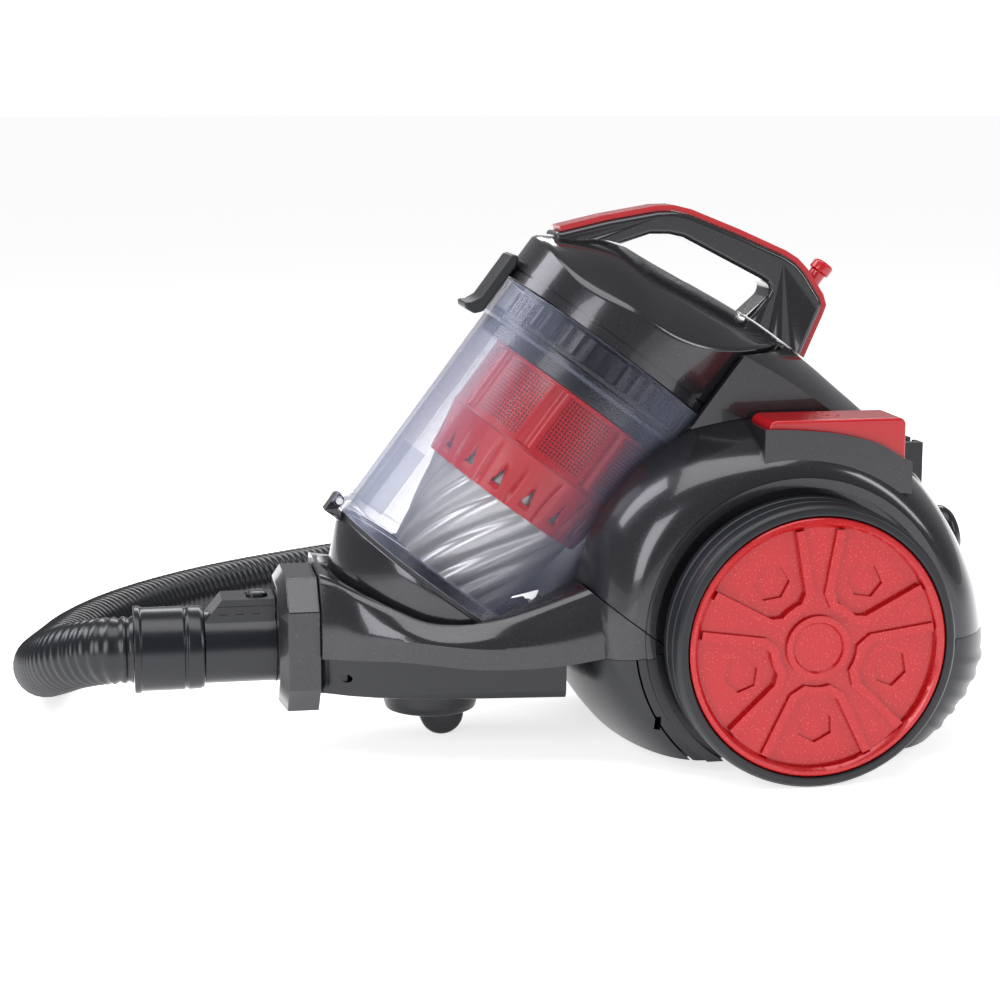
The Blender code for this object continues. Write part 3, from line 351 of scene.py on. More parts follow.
def rounded(profile, radius, steps=3):
    """Round the corners of a closed outline, as far as their edges allow."""
    done = []
    count = len(profile)
    for i in range(count):
        a, b, c = (Vector(profile[k % count]) for k in (i - 1, i, i + 1))
        if b.x == 0.0:
            done.append(tuple(b))
            continue
        cut = min(radius, (b - a).length * 0.45, (c - b).length * 0.45)
        start = b + (a - b).normalized() * cut
        end = b + (c - b).normalized() * cut
        for k in range(steps + 1):
            t = k / steps
            done.append(tuple(start * (1 - t)**2 + b * 2 * t * (1 - t) + end * t**2))
    return done


ALONG_X = Matrix.Rotation(math.pi / 2, 4, "Y")


def facing_x(x):
    return Matrix.Translation((x, 0.0, PIPE_Z)) @ ALONG_X


CUFF_BLACK = plastic("cuff_black", (0.004, 0.005, 0.008), 0.27, 0.03, 1200.0, drift=0.2)
inner = HOSE_D / 2 - 0.003
outline = [(CUFF_R - 0.0012, CUFF_LEN - GAP), (CUFF_R - 0.0002, CUFF_LEN - 0.0022), (CUFF_R, 0.0300),
           (CUFF_R - 0.0009, 0.0292), (CUFF_R - 0.0009, 0.0282), (CUFF_R, 0.0274), (CUFF_R, 0.0042),
           (CUFF_R + 0.0010, 0.0032), (CUFF_R + 0.0010, 0.0), (inner, 0.0), (inner, CUFF_LEN - GAP)]
piece("hose_cuff_ring", turned(rounded(outline, 0.0006), 96), CUFF_BLACK, "hose", ["hose_cuff"],
      at=facing_x(CUFF_END))


def cut(made, bm, operation="DIFFERENCE", at=None):
    """Cut a closed mesh from a piece, or join it on."""
    tool = piece("tool", bm, None, None, at=at)
    tool.matrix_world = made.matrix_world if at is None else tool.matrix_world
    step = made.modifiers.new("cut", "BOOLEAN")
    step.operation = operation
    step.solver = "MANIFOLD"
    step.object = tool
    bpy.context.view_layer.update()
    done = bpy.data.meshes.new_from_object(made.evaluated_get(bpy.context.evaluated_depsgraph_get()))
    made.modifiers.remove(step)
    old = made.data
    made.data = done
    bpy.data.meshes.remove(old)
    bpy.data.objects.remove(tool)
    return made


def ease_edges(made, width, angle=32.0, segments=2, even=True):
    """Round the edges that are left hard, and even out the shading beside them."""
    made.data.shade_smooth()
    bevel = made.modifiers.new("eased_edges", "BEVEL")
    bevel.width = width
    bevel.segments = segments
    bevel.limit_method = "ANGLE"
    bevel.angle_limit = math.radians(angle)
    if even:
        bevel.miter_outer = "MITER_ARC"
        shading = made.modifiers.new("even_shading", "WEIGHTED_NORMAL")
        shading.keep_sharp = False
        shading.weight = 60
    else:
        made.data.set_sharp_from_angle(angle=math.radians(angle))
        bevel.harden_normals = True
    return made


def box_mesh(low, high):
    bm = bmesh.new()
    bmesh.ops.create_cube(bm, size=1.0)
    size = Vector(high) - Vector(low)
    for v in bm.verts:
        v.co = Vector(low) + Vector([(c + 0.5) * s for c, s in zip(v.co, size)])
    return bm


def prism(outline, near, far):
    """Extrude an (x, z) outline along Y."""
    bm = bmesh.new()
    face = bm.faces.new([bm.verts.new((x, near, z)) for x, z in outline])
    grown = bmesh.ops.extrude_face_region(bm, geom=[face])
    moved = [v for v in grown["geom"] if isinstance(v, bmesh.types.BMVert)]
    bmesh.ops.translate(bm, verts=moved, vec=(0.0, far - near, 0.0))
    bmesh.ops.recalc_face_normals(bm, faces=bm.faces)
    return bm


bore = PIPE_R - 0.0035
plug = PIPE_R - 0.0008
total = CONNECTOR_LEN + 0.020
outline = [(plug, total), (plug, CONNECTOR_LEN + 0.0006), (PIPE_R, CONNECTOR_LEN - 0.0006),
           (PIPE_R, 0.0), (bore, 0.0), (bore, total)]
connector = piece("hose_plug", turned(outline, 96), CUFF_BLACK, "hose", ["hose_connector"],
                  at=facing_x(CONNECTOR_END + GAP))
x0, x1 = CONNECTOR_END + 0.001, COLLAR_FRONT - GAP * 2
z0, z1 = PIPE_Z + 0.010, PIPE_Z + 0.029
outline = [(x0, z0), (x1, z0), (x1, z1), (x0 + 0.009, z1), (x0, PIPE_Z + 0.018)]
here = Matrix.Identity(4)
cut(connector, prism(outline, -0.0125, 0.0125), "UNION", here)
for side in (-1, 1):
    for x in (x0 + 0.0075, x0 + 0.0165, x0 + 0.0255):
        low, high = sorted((side * 0.0118, side * 0.02))
        cut(connector, box_mesh((x, low, PIPE_Z + 0.0205), (x + 0.0042, high, PIPE_Z + 0.0235)), at=here)
    low, high = sorted((side * 0.0120, side * 0.02))
    cut(connector, box_mesh((x0 + 0.004, low, z1 - 0.0040), (x1 - 0.001, high, z1 - 0.0033)), at=here)
cut(connector, box_mesh((x1 - 0.0155, -0.007, z1 - 0.0075), (x1 - 0.0035, 0.007, z1 + 0.01)), at=here)
hollow = turned([(0.0, 0.08), (bore, 0.08), (bore, -0.01), (0.0, -0.01)], 96)
cut(connector, hollow, at=facing_x(CONNECTOR_END))
ease_edges(connector, 0.0006)


def rounded_pad(low, high, dome, steps=10):
    """Oval button: a rounded rectangle that domes a little in the middle."""
    bm = bmesh.new()
    cx, cy = (low[0] + high[0]) / 2, (low[1] + high[1]) / 2
    hx, hy = (high[0] - low[0]) / 2, (high[1] - low[1]) / 2
    rows = []
    for share, z in ((0.96, low[2]), (1.0, low[2] + 0.0006), (1.0, high[2] - 0.0014),
                     (0.955, high[2] - 0.0005), (0.84, high[2]), (0.55, high[2] + dome * 0.7),
                     (0.25, high[2] + dome)):
        ring = []
        for k in range(4 * steps):
            a = math.tau * k / (4 * steps)
            c, s = math.cos(a), math.sin(a)
            ring.append(bm.verts.new((cx + share * hx * math.copysign(abs(c)**0.62, c),
                                      cy + share * hy * math.copysign(abs(s)**0.62, s), z)))
        rows.append(ring)
    for under, over in zip(rows, rows[1:]):
        for k in range(4 * steps):
            m = (k + 1) % (4 * steps)
            bm.faces.new((under[k], under[m], over[m], over[k]))
    bm.faces.new(list(reversed(rows[0])))
    bm.faces.new(rows[-1])
    return bm


button = rounded_pad((x1 - 0.0150, -0.0065, z1 - 0.0035), (x1 - 0.0040, 0.0065, z1 + 0.0021), 0.0004)
piece("hose_catch_button", button, CUFF_BLACK, "hose_catch", ["connector_button"], 50.0)

end, before = hose_path[-1], hose_path[-2]
way = (end - before).normalized()
outline = [(0.0165, 0.110), (0.0178, 0.1085), (0.0182, 0.086), (0.0175, 0.0845), (0.0175, 0.083),
           (0.0184, 0.0815), (0.0189, 0.060), (0.0190, 0.030), (0.0182, 0.0290), (0.0182, 0.0270),
           (0.0190, 0.0260), (0.0190, 0.0), (0.0150, 0.0), (0.0150, 0.110)]
grip_place = Matrix.Translation(end + way * GAP) @ way.to_track_quat("Z", "Y").to_matrix().to_4x4()
piece("hand_grip", turned(rounded(outline, 0.0006), 72), CUFF_BLACK, "hose", ["hose_grip"],
      at=grip_place)

# ---------------------------------------------------------------- wheels
# Each rear wheel is a soft rubber tyre on a black wheel body, closed by a red moulded cap
# with five raised U-shaped ribs round sunk hexagons. It turns on a steel stub.
WHEEL_X = 0.067
WHEEL_R = 0.0765
WHEEL_OUT = 0.145
TYRE_W = 0.034
CAP_R = 0.0695
AXLE_R = 0.005
AXLE_Z = WHEEL_R
WHEEL_IN = WHEEL_OUT - TYRE_W
TYRE_BLACK = plastic("tyre_rubber", (0.004, 0.005, 0.008), 0.42, 0.10, 1600.0, drift=0.25)
WHEEL_BLACK = plastic("wheel_black", (0.007, 0.008, 0.010), 0.42, 0.05, 1200.0)
CAP_RED = plastic("cap_red", (0.42, 0.003, 0.006), 0.26, 0.03, 1500.0, flake=(0.80, 0.09, 0.08),
                  share=0.04, metallic=0.2, coat=0.3)
STEEL = plastic("turned_steel", (0.52, 0.52, 0.53), 0.28, 0.02, 2200.0, metallic=1.0)


def at_wheel(flip):
    """Place for a piece turned about Z, with its +Z pointing out through the wheel."""
    return (Matrix.Translation((WHEEL_X, flip * WHEEL_IN, AXLE_Z))
            @ Matrix.Rotation(-flip * math.pi / 2, 4, "X"))


def offset_line(points, distance):
    moved = []
    for i, point in enumerate(points):
        before = Vector(points[max(i - 1, 0)])
        after = Vector(points[min(i + 1, len(points) - 1)])
        mid = Vector(point)
        sides = [Vector(((b - a).normalized().y, -(b - a).normalized().x))
                 for a, b in ((before, mid), (mid, after)) if (b - a).length > 0]
        mean = sum(sides, Vector((0.0, 0.0))).normalized()
        moved.append(tuple(mid + mean * distance / mean.dot(sides[0])))
    return moved


def raised(outline, low, high):
    """Extrude an (x, y) outline up Z."""
    bm = bmesh.new()
    face = bm.faces.new([bm.verts.new((x, y, low)) for x, y in outline])
    grown = bmesh.ops.extrude_face_region(bm, geom=[face])
    moved = [v for v in grown["geom"] if isinstance(v, bmesh.types.BMVert)]
    bmesh.ops.translate(bm, verts=moved, vec=(0.0, 0.0, high - low))
    bmesh.ops.recalc_face_normals(bm, faces=bm.faces)
    return bm


PETALS = 5
FIRST_PETAL = -90.0
ARM_HALF = 26.0         # angle of a rib's arm from its petal's middle
RIB_BASE_R = 0.0235
RIB_END_R = 0.0635
RIB_W = 0.0046
CAP_FACE = TYRE_W - 0.0035


def petal_line(middle):
    """Middle line of one U rib: in along one arm, round its base, out along the other."""
    arm = [math.radians(middle + s * ARM_HALF) for s in (-1, 1)]
    inner = RIB_BASE_R + 0.006
    points = [(RIB_END_R * math.cos(arm[0]), RIB_END_R * math.sin(arm[0])),
              (inner * math.cos(arm[0]), inner * math.sin(arm[0]))]
    for share in (-0.62, -0.22, 0.22, 0.62):
        a = math.radians(middle + share * ARM_HALF)
        points.append((RIB_BASE_R * math.cos(a), RIB_BASE_R * math.sin(a)))
    points += [(inner * math.cos(arm[1]), inner * math.sin(arm[1])),
               (RIB_END_R * math.cos(arm[1]), RIB_END_R * math.sin(arm[1]))]
    return points


def wheel_cap(side, flip):
    top = TYRE_W
    outline = [(0.0, CAP_FACE), (0.0640, CAP_FACE), (0.0652, top - 0.0016), (0.0668, top - 0.0002),
               (CAP_R - 0.0008, top - 0.0004), (CAP_R, top - 0.0012), (CAP_R, top - 0.0082),
               (0.0, top - 0.0082)]
    made = piece(f"wheel_cover_{side}", turned(outline, 144), CAP_RED, f"{side}_wheel",
                 [f"wheel_cap_{side}"], at=at_wheel(flip))
    for i in range(PETALS):
        # seen from outside, the near and far wheels show the same pattern
        middle = FIRST_PETAL + 360.0 / PETALS * i
        line = petal_line(middle)
        floor_line = offset_line(line, -RIB_W / 2)
        sunk = raised(floor_line + [(0.0652 * math.cos(math.radians(middle + a)),
                                     0.0652 * math.sin(math.radians(middle + a)))
                                    for a in (20, 12, 4, -4, -12, -20)], CAP_FACE - 0.0017, CAP_FACE + 0.002)
        cut(made, sunk)
        band = offset_line(line, RIB_W / 2) + list(reversed(floor_line))
        cut(made, raised(band, CAP_FACE - 0.003, CAP_FACE + 0.0021), "UNION")
        hexagon = []
        for k, (reach, a) in enumerate(((0.0098, 0), (0.0104, 62), (0.0098, 118), (0.0090, 180),
                                        (0.0098, 242), (0.0104, 298))):
            b = math.radians(middle + a)
            hexagon.append((0.0425 * math.cos(math.radians(middle)) + reach * math.cos(b),
                            0.0425 * math.sin(math.radians(middle)) + reach * math.sin(b)))
        cut(made, raised(hexagon, CAP_FACE - 0.0036, CAP_FACE + 0.002))
    ring = [(0.0172, CAP_FACE + 0.0024), (0.0172, CAP_FACE - 0.002), (0.0, CAP_FACE - 0.002),
            (0.0, CAP_FACE + 0.0007), (0.0128, CAP_FACE + 0.0007), (0.0138, CAP_FACE + 0.0024)]
    cut(made, turned(ring, 5 * 12), "UNION")
    spread = bmesh.new()
    spread.from_mesh(made.data)
    bmesh.ops.triangulate(spread, faces=[f for f in spread.faces if len(f.verts) > 4])
    spread.to_mesh(made.data)
    spread.free()
    ease_edges(made, 0.0008, even=False)


for side, flip in (("near", -1), ("far", 1)):
    face = TYRE_W
    seat = CAP_R + 2 * GAP
    outline = [(WHEEL_R - 0.0022, face - 0.0008), (WHEEL_R - 0.0006, face - 0.0030), (WHEEL_R, face - 0.0065),
               (WHEEL_R, 0.0245), (WHEEL_R - 0.0010, 0.0238), (WHEEL_R - 0.0010, 0.0228),
               (WHEEL_R, 0.0221), (WHEEL_R, 0.0125), (WHEEL_R - 0.0010, 0.0118),
               (WHEEL_R - 0.0010, 0.0108), (WHEEL_R, 0.0101), (WHEEL_R, 0.005),
               (WHEEL_R - 0.004, 0.0), (seat, 0.0), (seat, face - 0.0012), (seat + 0.0008, face - 0.0004)]
    piece(f"tyre_ring_{side}", turned(rounded(outline, 0.0006), 160), TYRE_BLACK, f"{side}_wheel",
          [f"tyre_{side}"], at=at_wheel(flip))
    rim, hub = CAP_R + GAP, AXLE_R + 0.0004
    outline = [(rim, face - 0.0085), (rim, 0.0025), (rim - 0.0033, 0.0025), (rim - 0.0033, face - 0.012),
               (0.012, face - 0.016), (0.012, 0.0012), (hub, 0.0012), (hub, face - 0.0085)]
    piece(f"wheel_disc_{side}", turned(rounded(outline, 0.0004), 96), WHEEL_BLACK, f"{side}_wheel",
          [f"wheel_body_{side}"], at=at_wheel(flip))
    wheel_cap(side, flip)

# ---------------------------------------------------------------- lower housing
# Closed black tub between the wheels, moulded in polypropylene, which carries the motor and
# the cord reel. A row of small ribs runs round its heel and a slot shows in front of the wheel.
BODY_HALF = 0.109
SIDE_Y = BODY_HALF + 0.003
RECESS_Y = SIDE_Y - 0.0065
ARCH_R = WHEEL_R + 0.0035
SIDE_R = ARCH_R + 0.005
WALL = 0.003
RUN = 0.0012
SPLIT_Z = 0.0695
HOUSING_Z = 0.008
BASE_Z = 0.033
BIN_TILT = math.radians(37)
BIN_PLACE = Matrix.Translation((-0.111, 0.0, 0.090)) @ Matrix.Rotation(BIN_TILT, 4, "Y")
BIN_R = 0.0705
BIN_H = 0.160
HEAD_R = BIN_R + 0.0035
RING_R = BIN_R + 0.0025
BIN_SPACE = RING_R + RUN
HEAD_SPACE = HEAD_R + RUN
FENDER = [(-190, 0.122), (-165, 0.118), (-140, 0.113), (-115, 0.112), (-90, 0.112),
          (-60, 0.116), (-38, 0.124), (-15, 0.1335), (4, 0.126), (17, 0.120), (32, 0.1165),
          (55, 0.115), (85, 0.116), (105, 0.119), (125, 0.126), (150, 0.129), (170, 0.122)]
HEEL_PITCH = 5.6        # degrees from rib to rib
HEEL_RISE = 0.0016
SKIRT = [(-0.20, 0.0555), (-0.146, 0.0600), (-0.10, 0.0565), (-0.059, 0.0584),
         (-0.02, 0.0655), (0.01, SPLIT_Z)]
SEAM = [(-0.076, 0.1248), (-0.0432, 0.0995), (-0.0024, SPLIT_Z)]
BASE_BLACK = plastic("base_black", (0.004, 0.005, 0.008), 0.28, 0.06, 1300.0, drift=0.2)


def smooth_curve(points, x):
    """Value at x of a smooth curve through points (x, value), flat-ended, without overshoot."""
    if x <= points[0][0]:
        return points[0][1]
    for i, ((x0, v0), (x1, v1)) in enumerate(zip(points, points[1:])):
        if x <= x1:
            t = (x - x0) / (x1 - x0)
            before = points[i - 1] if i else (x0 - (x1 - x0), v0)
            after = points[i + 2] if i + 2 < len(points) else (x1 + (x1 - x0), v1)
            m0 = (v1 - before[1]) / (x1 - before[0]) * (x1 - x0)
            m1 = (after[1] - v0) / (after[0] - x0) * (x1 - x0)
            return ((2 * t**3 - 3 * t**2 + 1) * v0 + (t**3 - 2 * t**2 + t) * m0
                    + (3 * t**2 - 2 * t**3) * v1 + (t**3 - t**2) * m1)
    return points[-1][1]


def loft(rings):
    """Skin closed rings of points, each with the same count, and close both ends."""
    bm = bmesh.new()
    rows = [[bm.verts.new(p) for p in ring] for ring in rings]
    for low, high in zip(rows, rows[1:]):
        count = len(low)
        for i in range(count):
            j = (i + 1) % count
            bm.faces.new((low[i], low[j], high[j], high[i]))
    bm.faces.new(list(reversed(rows[0])))
    bm.faces.new(rows[-1])
    bmesh.ops.triangulate(bm, faces=[f for f in bm.faces if len(f.verts) > 4])
    bmesh.ops.recalc_face_normals(bm, faces=bm.faces)
    return bm


def fender_form(grow=0.0, steps=180, heel=False):
    """Rear body: flat arch discs at the sides swelling to a full drum in the middle."""
    half = BODY_HALF + grow
    places = [half * math.sin(math.radians(a)) for a in range(-90, 91, 6)]
    if grow < 0:
        end = RECESS_Y + grow
        places = [-end] + [y for y in places if abs(y) < end - 0.001] + [end]
    else:
        places = [-SIDE_Y - grow] + places + [SIDE_Y + grow]
    rings = []
    for y in places:
        swell = math.sqrt(max(0.0, 1.0 - (y / half)**2))
        ring = []
        for i in range(steps):
            a = math.tau * (i + 0.5) / steps - math.pi
            full = smooth_curve(FENDER, math.degrees(a)) + grow
            r = SIDE_R + grow + (full - SIDE_R - grow) * swell
            if heel and -38 < math.degrees(a) < -8:
                tooth = max(0.0, math.sin(math.tau * (math.degrees(a) + 8) / HEEL_PITCH))
                r += HEEL_RISE * tooth**0.5 * swell**0.3
            ring.append((WHEEL_X + r * math.cos(a), y, AXLE_Z + r * math.sin(a)))
        rings.append(ring)
    return loft(rings)


def lid_height(x, low=0.0):
    return -0.0098 - (0.066 - x) * (0.0335 - 0.0098) / 0.124 - low


def lid_ring(radius, shift, low, steps=128):
    return [(x + shift, y, lid_height(x + shift, low)) for x, y, _ in flat_ring(radius, 0.0, steps)]


def flat_ring(radius, z, steps=128):
    turns = [math.tau * i / steps for i in range(steps)]
    return [(radius * math.cos(a), radius * math.sin(a), z) for a in turns]


def bin_room(extra=0.0):
    """Room the bin needs, from under its lid straight up along its axis."""
    return loft([lid_ring(0.0640 + extra, 0.004, RUN), lid_ring(0.0670 + extra, 0.002, -0.003),
                 flat_ring(BIN_SPACE + extra, -0.004), flat_ring(BIN_SPACE + extra, 0.130),
                 flat_ring(HEAD_SPACE + extra, 0.134), flat_ring(HEAD_SPACE + extra, 0.40)])


def bar(radius, low, high, steps=96):
    return turned([(0.0, high), (radius, high), (radius, low), (0.0, low)], steps)


def facing_y(place, flip=1):
    """Frame at a place whose Z points out of the near (-1) or far (1) side."""
    return Matrix.Translation(place) @ Matrix.Rotation(-flip * math.pi / 2, 4, "X")


def wheel_rooms(made):
    """Recess for each back wheel, and the bore of its axle."""
    for flip in (-1, 1):
        seat = facing_y((WHEEL_X, flip * RECESS_Y, AXLE_Z), flip)
        cut(made, bar(ARCH_R, 0.0, 0.02, 180), at=seat)
        cut(made, bar(AXLE_R + GAP, -0.03, 0.03, 48), at=seat)


skirt = [(x / 1000, smooth_curve(SKIRT, x / 1000) - GAP) for x in range(0, -60, -5)]
region = [(-0.050 + GAP, HOUSING_Z), (0.26, HOUSING_Z), (0.26, SPLIT_Z - GAP), (0.005, SPLIT_Z - GAP)] + skirt
housing = piece("lower_shell", fender_form(steps=360, heel=True), BASE_BLACK, "machine", ["lower_housing"])
cut(housing, prism(region, -0.2, 0.2), "INTERSECT")
room = piece("housing_room", fender_form(-WALL), None, None)
front, floor_z = -0.050 + GAP + WALL, HOUSING_Z + WALL
cut(room, prism([(front, floor_z), (0.26, floor_z), (0.26, 0.2), (front, 0.2)], -0.2, 0.2), "INTERSECT")
inside = bmesh.new()
inside.from_mesh(room.data)
bpy.data.objects.remove(room)
cut(housing, inside)
wheel_rooms(housing)
cut(housing, bin_room(), at=BIN_PLACE)
for side in (-1, 1):
    low, high = sorted((side * 0.090, side * 0.12))
    cut(housing, box_mesh((-0.0115, low, 0.0255), (-0.0085, high, 0.0335)))
    near, far = SIDE_R + 0.0042, SIDE_R + 0.0052
    groove = turned([(near, 0.003), (far, 0.003), (far, -0.012), (near, -0.012)], 180)
    cut(housing, groove, at=facing_y((WHEEL_X, side * SIDE_Y, AXLE_Z), side))
ease_edges(housing, 0.0006)

# ---------------------------------------------------------------- base tray
# Black tray under the deck, from the hose inlet back to the lower housing, with the round
# swivel housing of the small front caster under its nose.
DECK_WIDTH = [(-0.20, 0.044), (-0.1838, 0.046), (-0.165, 0.062), (-0.14, 0.075),
              (-0.11, 0.083), (-0.07, 0.089), (-0.03, 0.094), (0.03, 0.097)]
CASTER_X = -0.118
CASTER_R = 0.0125
CASTER_TRAIL = 0.006
behind_nose = NOSE_X + WALL + GAP
places = [NOSE_X, behind_nose] + [behind_nose + 0.0002 + 0.0129 * i for i in range(11)]
outer, hollow = [], []
for x in places:
    half = smooth_curve(DECK_WIDTH, x) * 0.70
    top = smooth_curve(SKIRT, x) + (0.004 if x > behind_nose else -GAP)
    line = [(half - 0.006, BASE_Z), (half - 0.0022, BASE_Z + 0.0012), (half - 0.0006, BASE_Z + 0.0036),
            (half, BASE_Z + 0.006), (half + 0.002, top), (half * 0.4, top)]
    outer.append([(x, y, z) for y, z in line] + [(x, -y, z) for y, z in reversed(line)])
    line = [(half - 0.008, BASE_Z + 0.0025), (half - 0.0025, BASE_Z + 0.007),
            (half - 0.0005, top + 0.01), (half * 0.4, top + 0.01)]
    x = min(max(x, places[0] + 0.0025), places[-1] - 0.0025)
    hollow.append([(x, y, z) for y, z in line] + [(x, -y, z) for y, z in reversed(line)])
tray = piece("base_tray", loft(outer), BASE_BLACK, "machine", ["base_pan"])
cut(tray, loft(hollow[1:-1]))
cut(tray, bin_room(), at=BIN_PLACE)
cut(tray, bar(PIPE_R + GAP, -0.03, 0.03), at=facing_x(NOSE_X))
cut(tray, bar(0.0195, BASE_Z - 0.01, BASE_Z + 0.01), at=Matrix.Translation((CASTER_X, 0.0, 0.0)))
for side in (-1, 1):
    place = facing_y((NOSE_X + 0.013, side * 0.0445, 0.0445), side) @ Matrix.Diagonal((1.5, 1.0, 1.0, 1.0))
    cut(tray, turned([(0.0, 0.004), (0.0024, 0.004), (0.0024, -0.006), (0.0, -0.006)], 32), at=place)
ease_edges(tray, 0.0006)

under = Matrix.Translation((CASTER_X, 0.0, 0.0))
outline = [(0.019, BASE_Z + 0.006), (0.019, BASE_Z - GAP), (0.0275, BASE_Z - GAP), (0.0268, 0.020),
           (0.0258, 0.0166), (0.0245, 0.016), (0.0235, 0.017), (0.0235, BASE_Z - 0.003),
           (0.004, BASE_Z - 0.003), (0.004, BASE_Z + 0.006)]
piece("caster_cup", turned(rounded(outline, 0.0005), 96), BASE_BLACK, "machine", ["caster_housing"], at=under)
top = BASE_Z - 0.0035
outline = [(-0.013, top), (0.013, top), (0.013, top - 0.003), (CASTER_TRAIL + 0.004, 0.0085),
           (CASTER_TRAIL - 0.004, 0.0085), (-0.013, top - 0.003)]
fork = piece("caster_yoke", prism(outline, -0.011, 0.011), WHEEL_BLACK, "caster", ["caster_fork"], at=under)
cut(fork, box_mesh((-0.03, -0.0075, 0.0), (0.03, 0.0075, top - 0.0025)))
cut(fork, bar(0.0035, top - 0.001, BASE_Z + 0.005, 48), "UNION")
ease_edges(fork, 0.0005)
turning = facing_y((CASTER_X + CASTER_TRAIL, 0.0, CASTER_R))
outline = [(CASTER_R - 0.0012, 0.007), (CASTER_R, 0.005), (CASTER_R, -0.005), (CASTER_R - 0.0012, -0.007),
           (0.0024, -0.007), (0.0024, 0.007)]
piece("caster_tread", turned(rounded(outline, 0.0008), 72), TYRE_BLACK, "caster_roller", ["caster_wheel"],
      at=turning)

# ---------------------------------------------------------------- deck cover
# Dark metallic shell over the nose and the foot of the bin. It is one moulding with the front
# of the arches: a lighter upper side, a crease, and a lower band that fades into the arch.
DECK_TOP = [(-0.20, 0.104), (-0.1838, 0.102), (-0.15, 0.090), (-0.125, 0.0816),
            (-0.092, 0.0835), (-0.0456, 0.0993), (-0.02, 0.109), (0.03, 0.112)]
GUNMETAL = plastic("gunmetal", (0.030, 0.029, 0.033), 0.20, 0.02, 1800.0, flake=(0.08, 0.08, 0.10),
                   share=0.025, metallic=0.55, coat=0.5, drift=0.06)


def deck_form(grow=0.0, foot=0.045):
    rings = []
    steps = 54
    for i in range(steps + 1):
        x = NOSE_X + 0.2145 * i / steps
        if i == 0:
            x -= min(grow, 0.0)
        half = smooth_curve(DECK_WIDTH, x) + grow
        top = smooth_curve(DECK_TOP, x) + grow
        band = smooth_curve(SKIRT, x) + 0.012
        a, b, c = Vector((half, band)), Vector((half - 0.0066, top - 0.0052)), Vector((half - 0.015, top))
        corner = Vector((half - 0.0102, top - 0.0004))
        side = [(half - 0.004, foot), (half - 0.002, band - 0.012), (half - 0.0008, band - 0.0035)]
        side += [tuple(a.lerp(b, t) + Vector((0.0012 * math.sin(math.pi * t), 0.0))) for t in (0, 0.33, 0.66)]
        side += [tuple(b * (1 - t)**2 + corner * 2 * t * (1 - t) + c * t**2) for t in (0, 0.25, 0.5, 0.75, 1)]
        side += [(half * 0.3, top + 0.0015)]
        line = [(x, y, z) for y, z in side]
        rings.append(line + [(x, -y, z) for _, y, z in reversed(line)])
    return loft(rings)


deck = piece("deck_shell", fender_form(), GUNMETAL, "machine", ["deck_cover"])
cut(deck, deck_form(), "UNION")
low = [(x / 1000, smooth_curve(SKIRT, x / 1000)) for x in range(-190, 0, 5)]
seam = [(x - GAP, z - GAP * 2) for x, z in reversed(SEAM)]
region = low + [(-0.0065, SPLIT_Z - 0.0008)] + seam + [(-0.08, 0.2), (-0.20, 0.2)]
cut(deck, prism(region, -0.2, 0.2), "INTERSECT")
cut(deck, deck_form(-WALL, 0.035))
cut(deck, fender_form(-WALL))
cut(deck, bin_room(), at=BIN_PLACE)
wheel_rooms(deck)
cut(deck, bar(PIPE_R + GAP, -0.03, 0.03), at=facing_x(NOSE_X))
ease_edges(deck, 0.0006)

# ---------------------------------------------------------------- inlet collar
# Eight-sided bezel round the suction inlet, moulded in the same dark metallic plastic as the
# deck and clipped to its nose.
COLLAR_HALF = 0.038
COLLAR_CORNER = 0.016


def collar_ring(x, inset):
    h = COLLAR_HALF - inset
    c = COLLAR_CORNER - inset * 0.3
    return [(x, h, -h + c), (x, h, h - c), (x, h - c, h), (x, -h + c, h), (x, -h, h - c),
            (x, -h, -h + c), (x, -h + c, -h), (x, h - c, -h)]


places = [(COLLAR_FRONT, 0.006), (COLLAR_FRONT + 0.005, 0.0), (NOSE_X - GAP, 0.0)]
rings = [collar_ring(x, inset) for x, inset in places]
collar = piece("inlet_bezel", loft(rings), GUNMETAL, "machine", ["inlet_collar"],
               at=Matrix.Translation((0.0, 0.0, PIPE_Z + 0.004)))
cut(collar, bar(PIPE_R + GAP, -0.06, 0.06), at=facing_x(COLLAR_FRONT))
ease_edges(collar, 0.0008)

# ---------------------------------------------------------------- inlet duct
# Short plain black tube behind the collar that carries the dirty air inwards, moulded and
# pushed in from the front.
DUCT_LONG = 0.032
DUCT_WALL = 0.002
duct = [(PIPE_R, DUCT_LONG), (PIPE_R, 0.0), (PIPE_R - DUCT_WALL, 0.0), (PIPE_R - DUCT_WALL, DUCT_LONG)]
piece("duct_tube", turned(rounded(duct, 0.0005), 96), BASE_BLACK, "machine", ["inlet_duct"],
      at=facing_x(NOSE_X + GAP * 2))

# ---------------------------------------------------------------- rear body
# Big gunmetal fender shell over both wheels, with a pod on each shoulder that a pedal sits in.
# Injection moulded and painted, parted from the black housing along a line behind the wheels.
GLAND_TILT = math.radians(78)
GLAND_SEAT = (WHEEL_X + 0.1185, 0.0, AXLE_Z + 0.0300)
GLAND_PLACE = Matrix.Translation(GLAND_SEAT) @ Matrix.Rotation(GLAND_TILT, 4, "Y")
POD_EDGE = [(0.0475, 0.1868), (0.065, 0.1862), (0.088, 0.1837), (0.111, 0.1777), (0.1300, 0.1675)]
POD_WALL = 0.0027
PEDAL_X = (0.050, 0.1275)
PEDAL_Y = (0.066, 0.102)

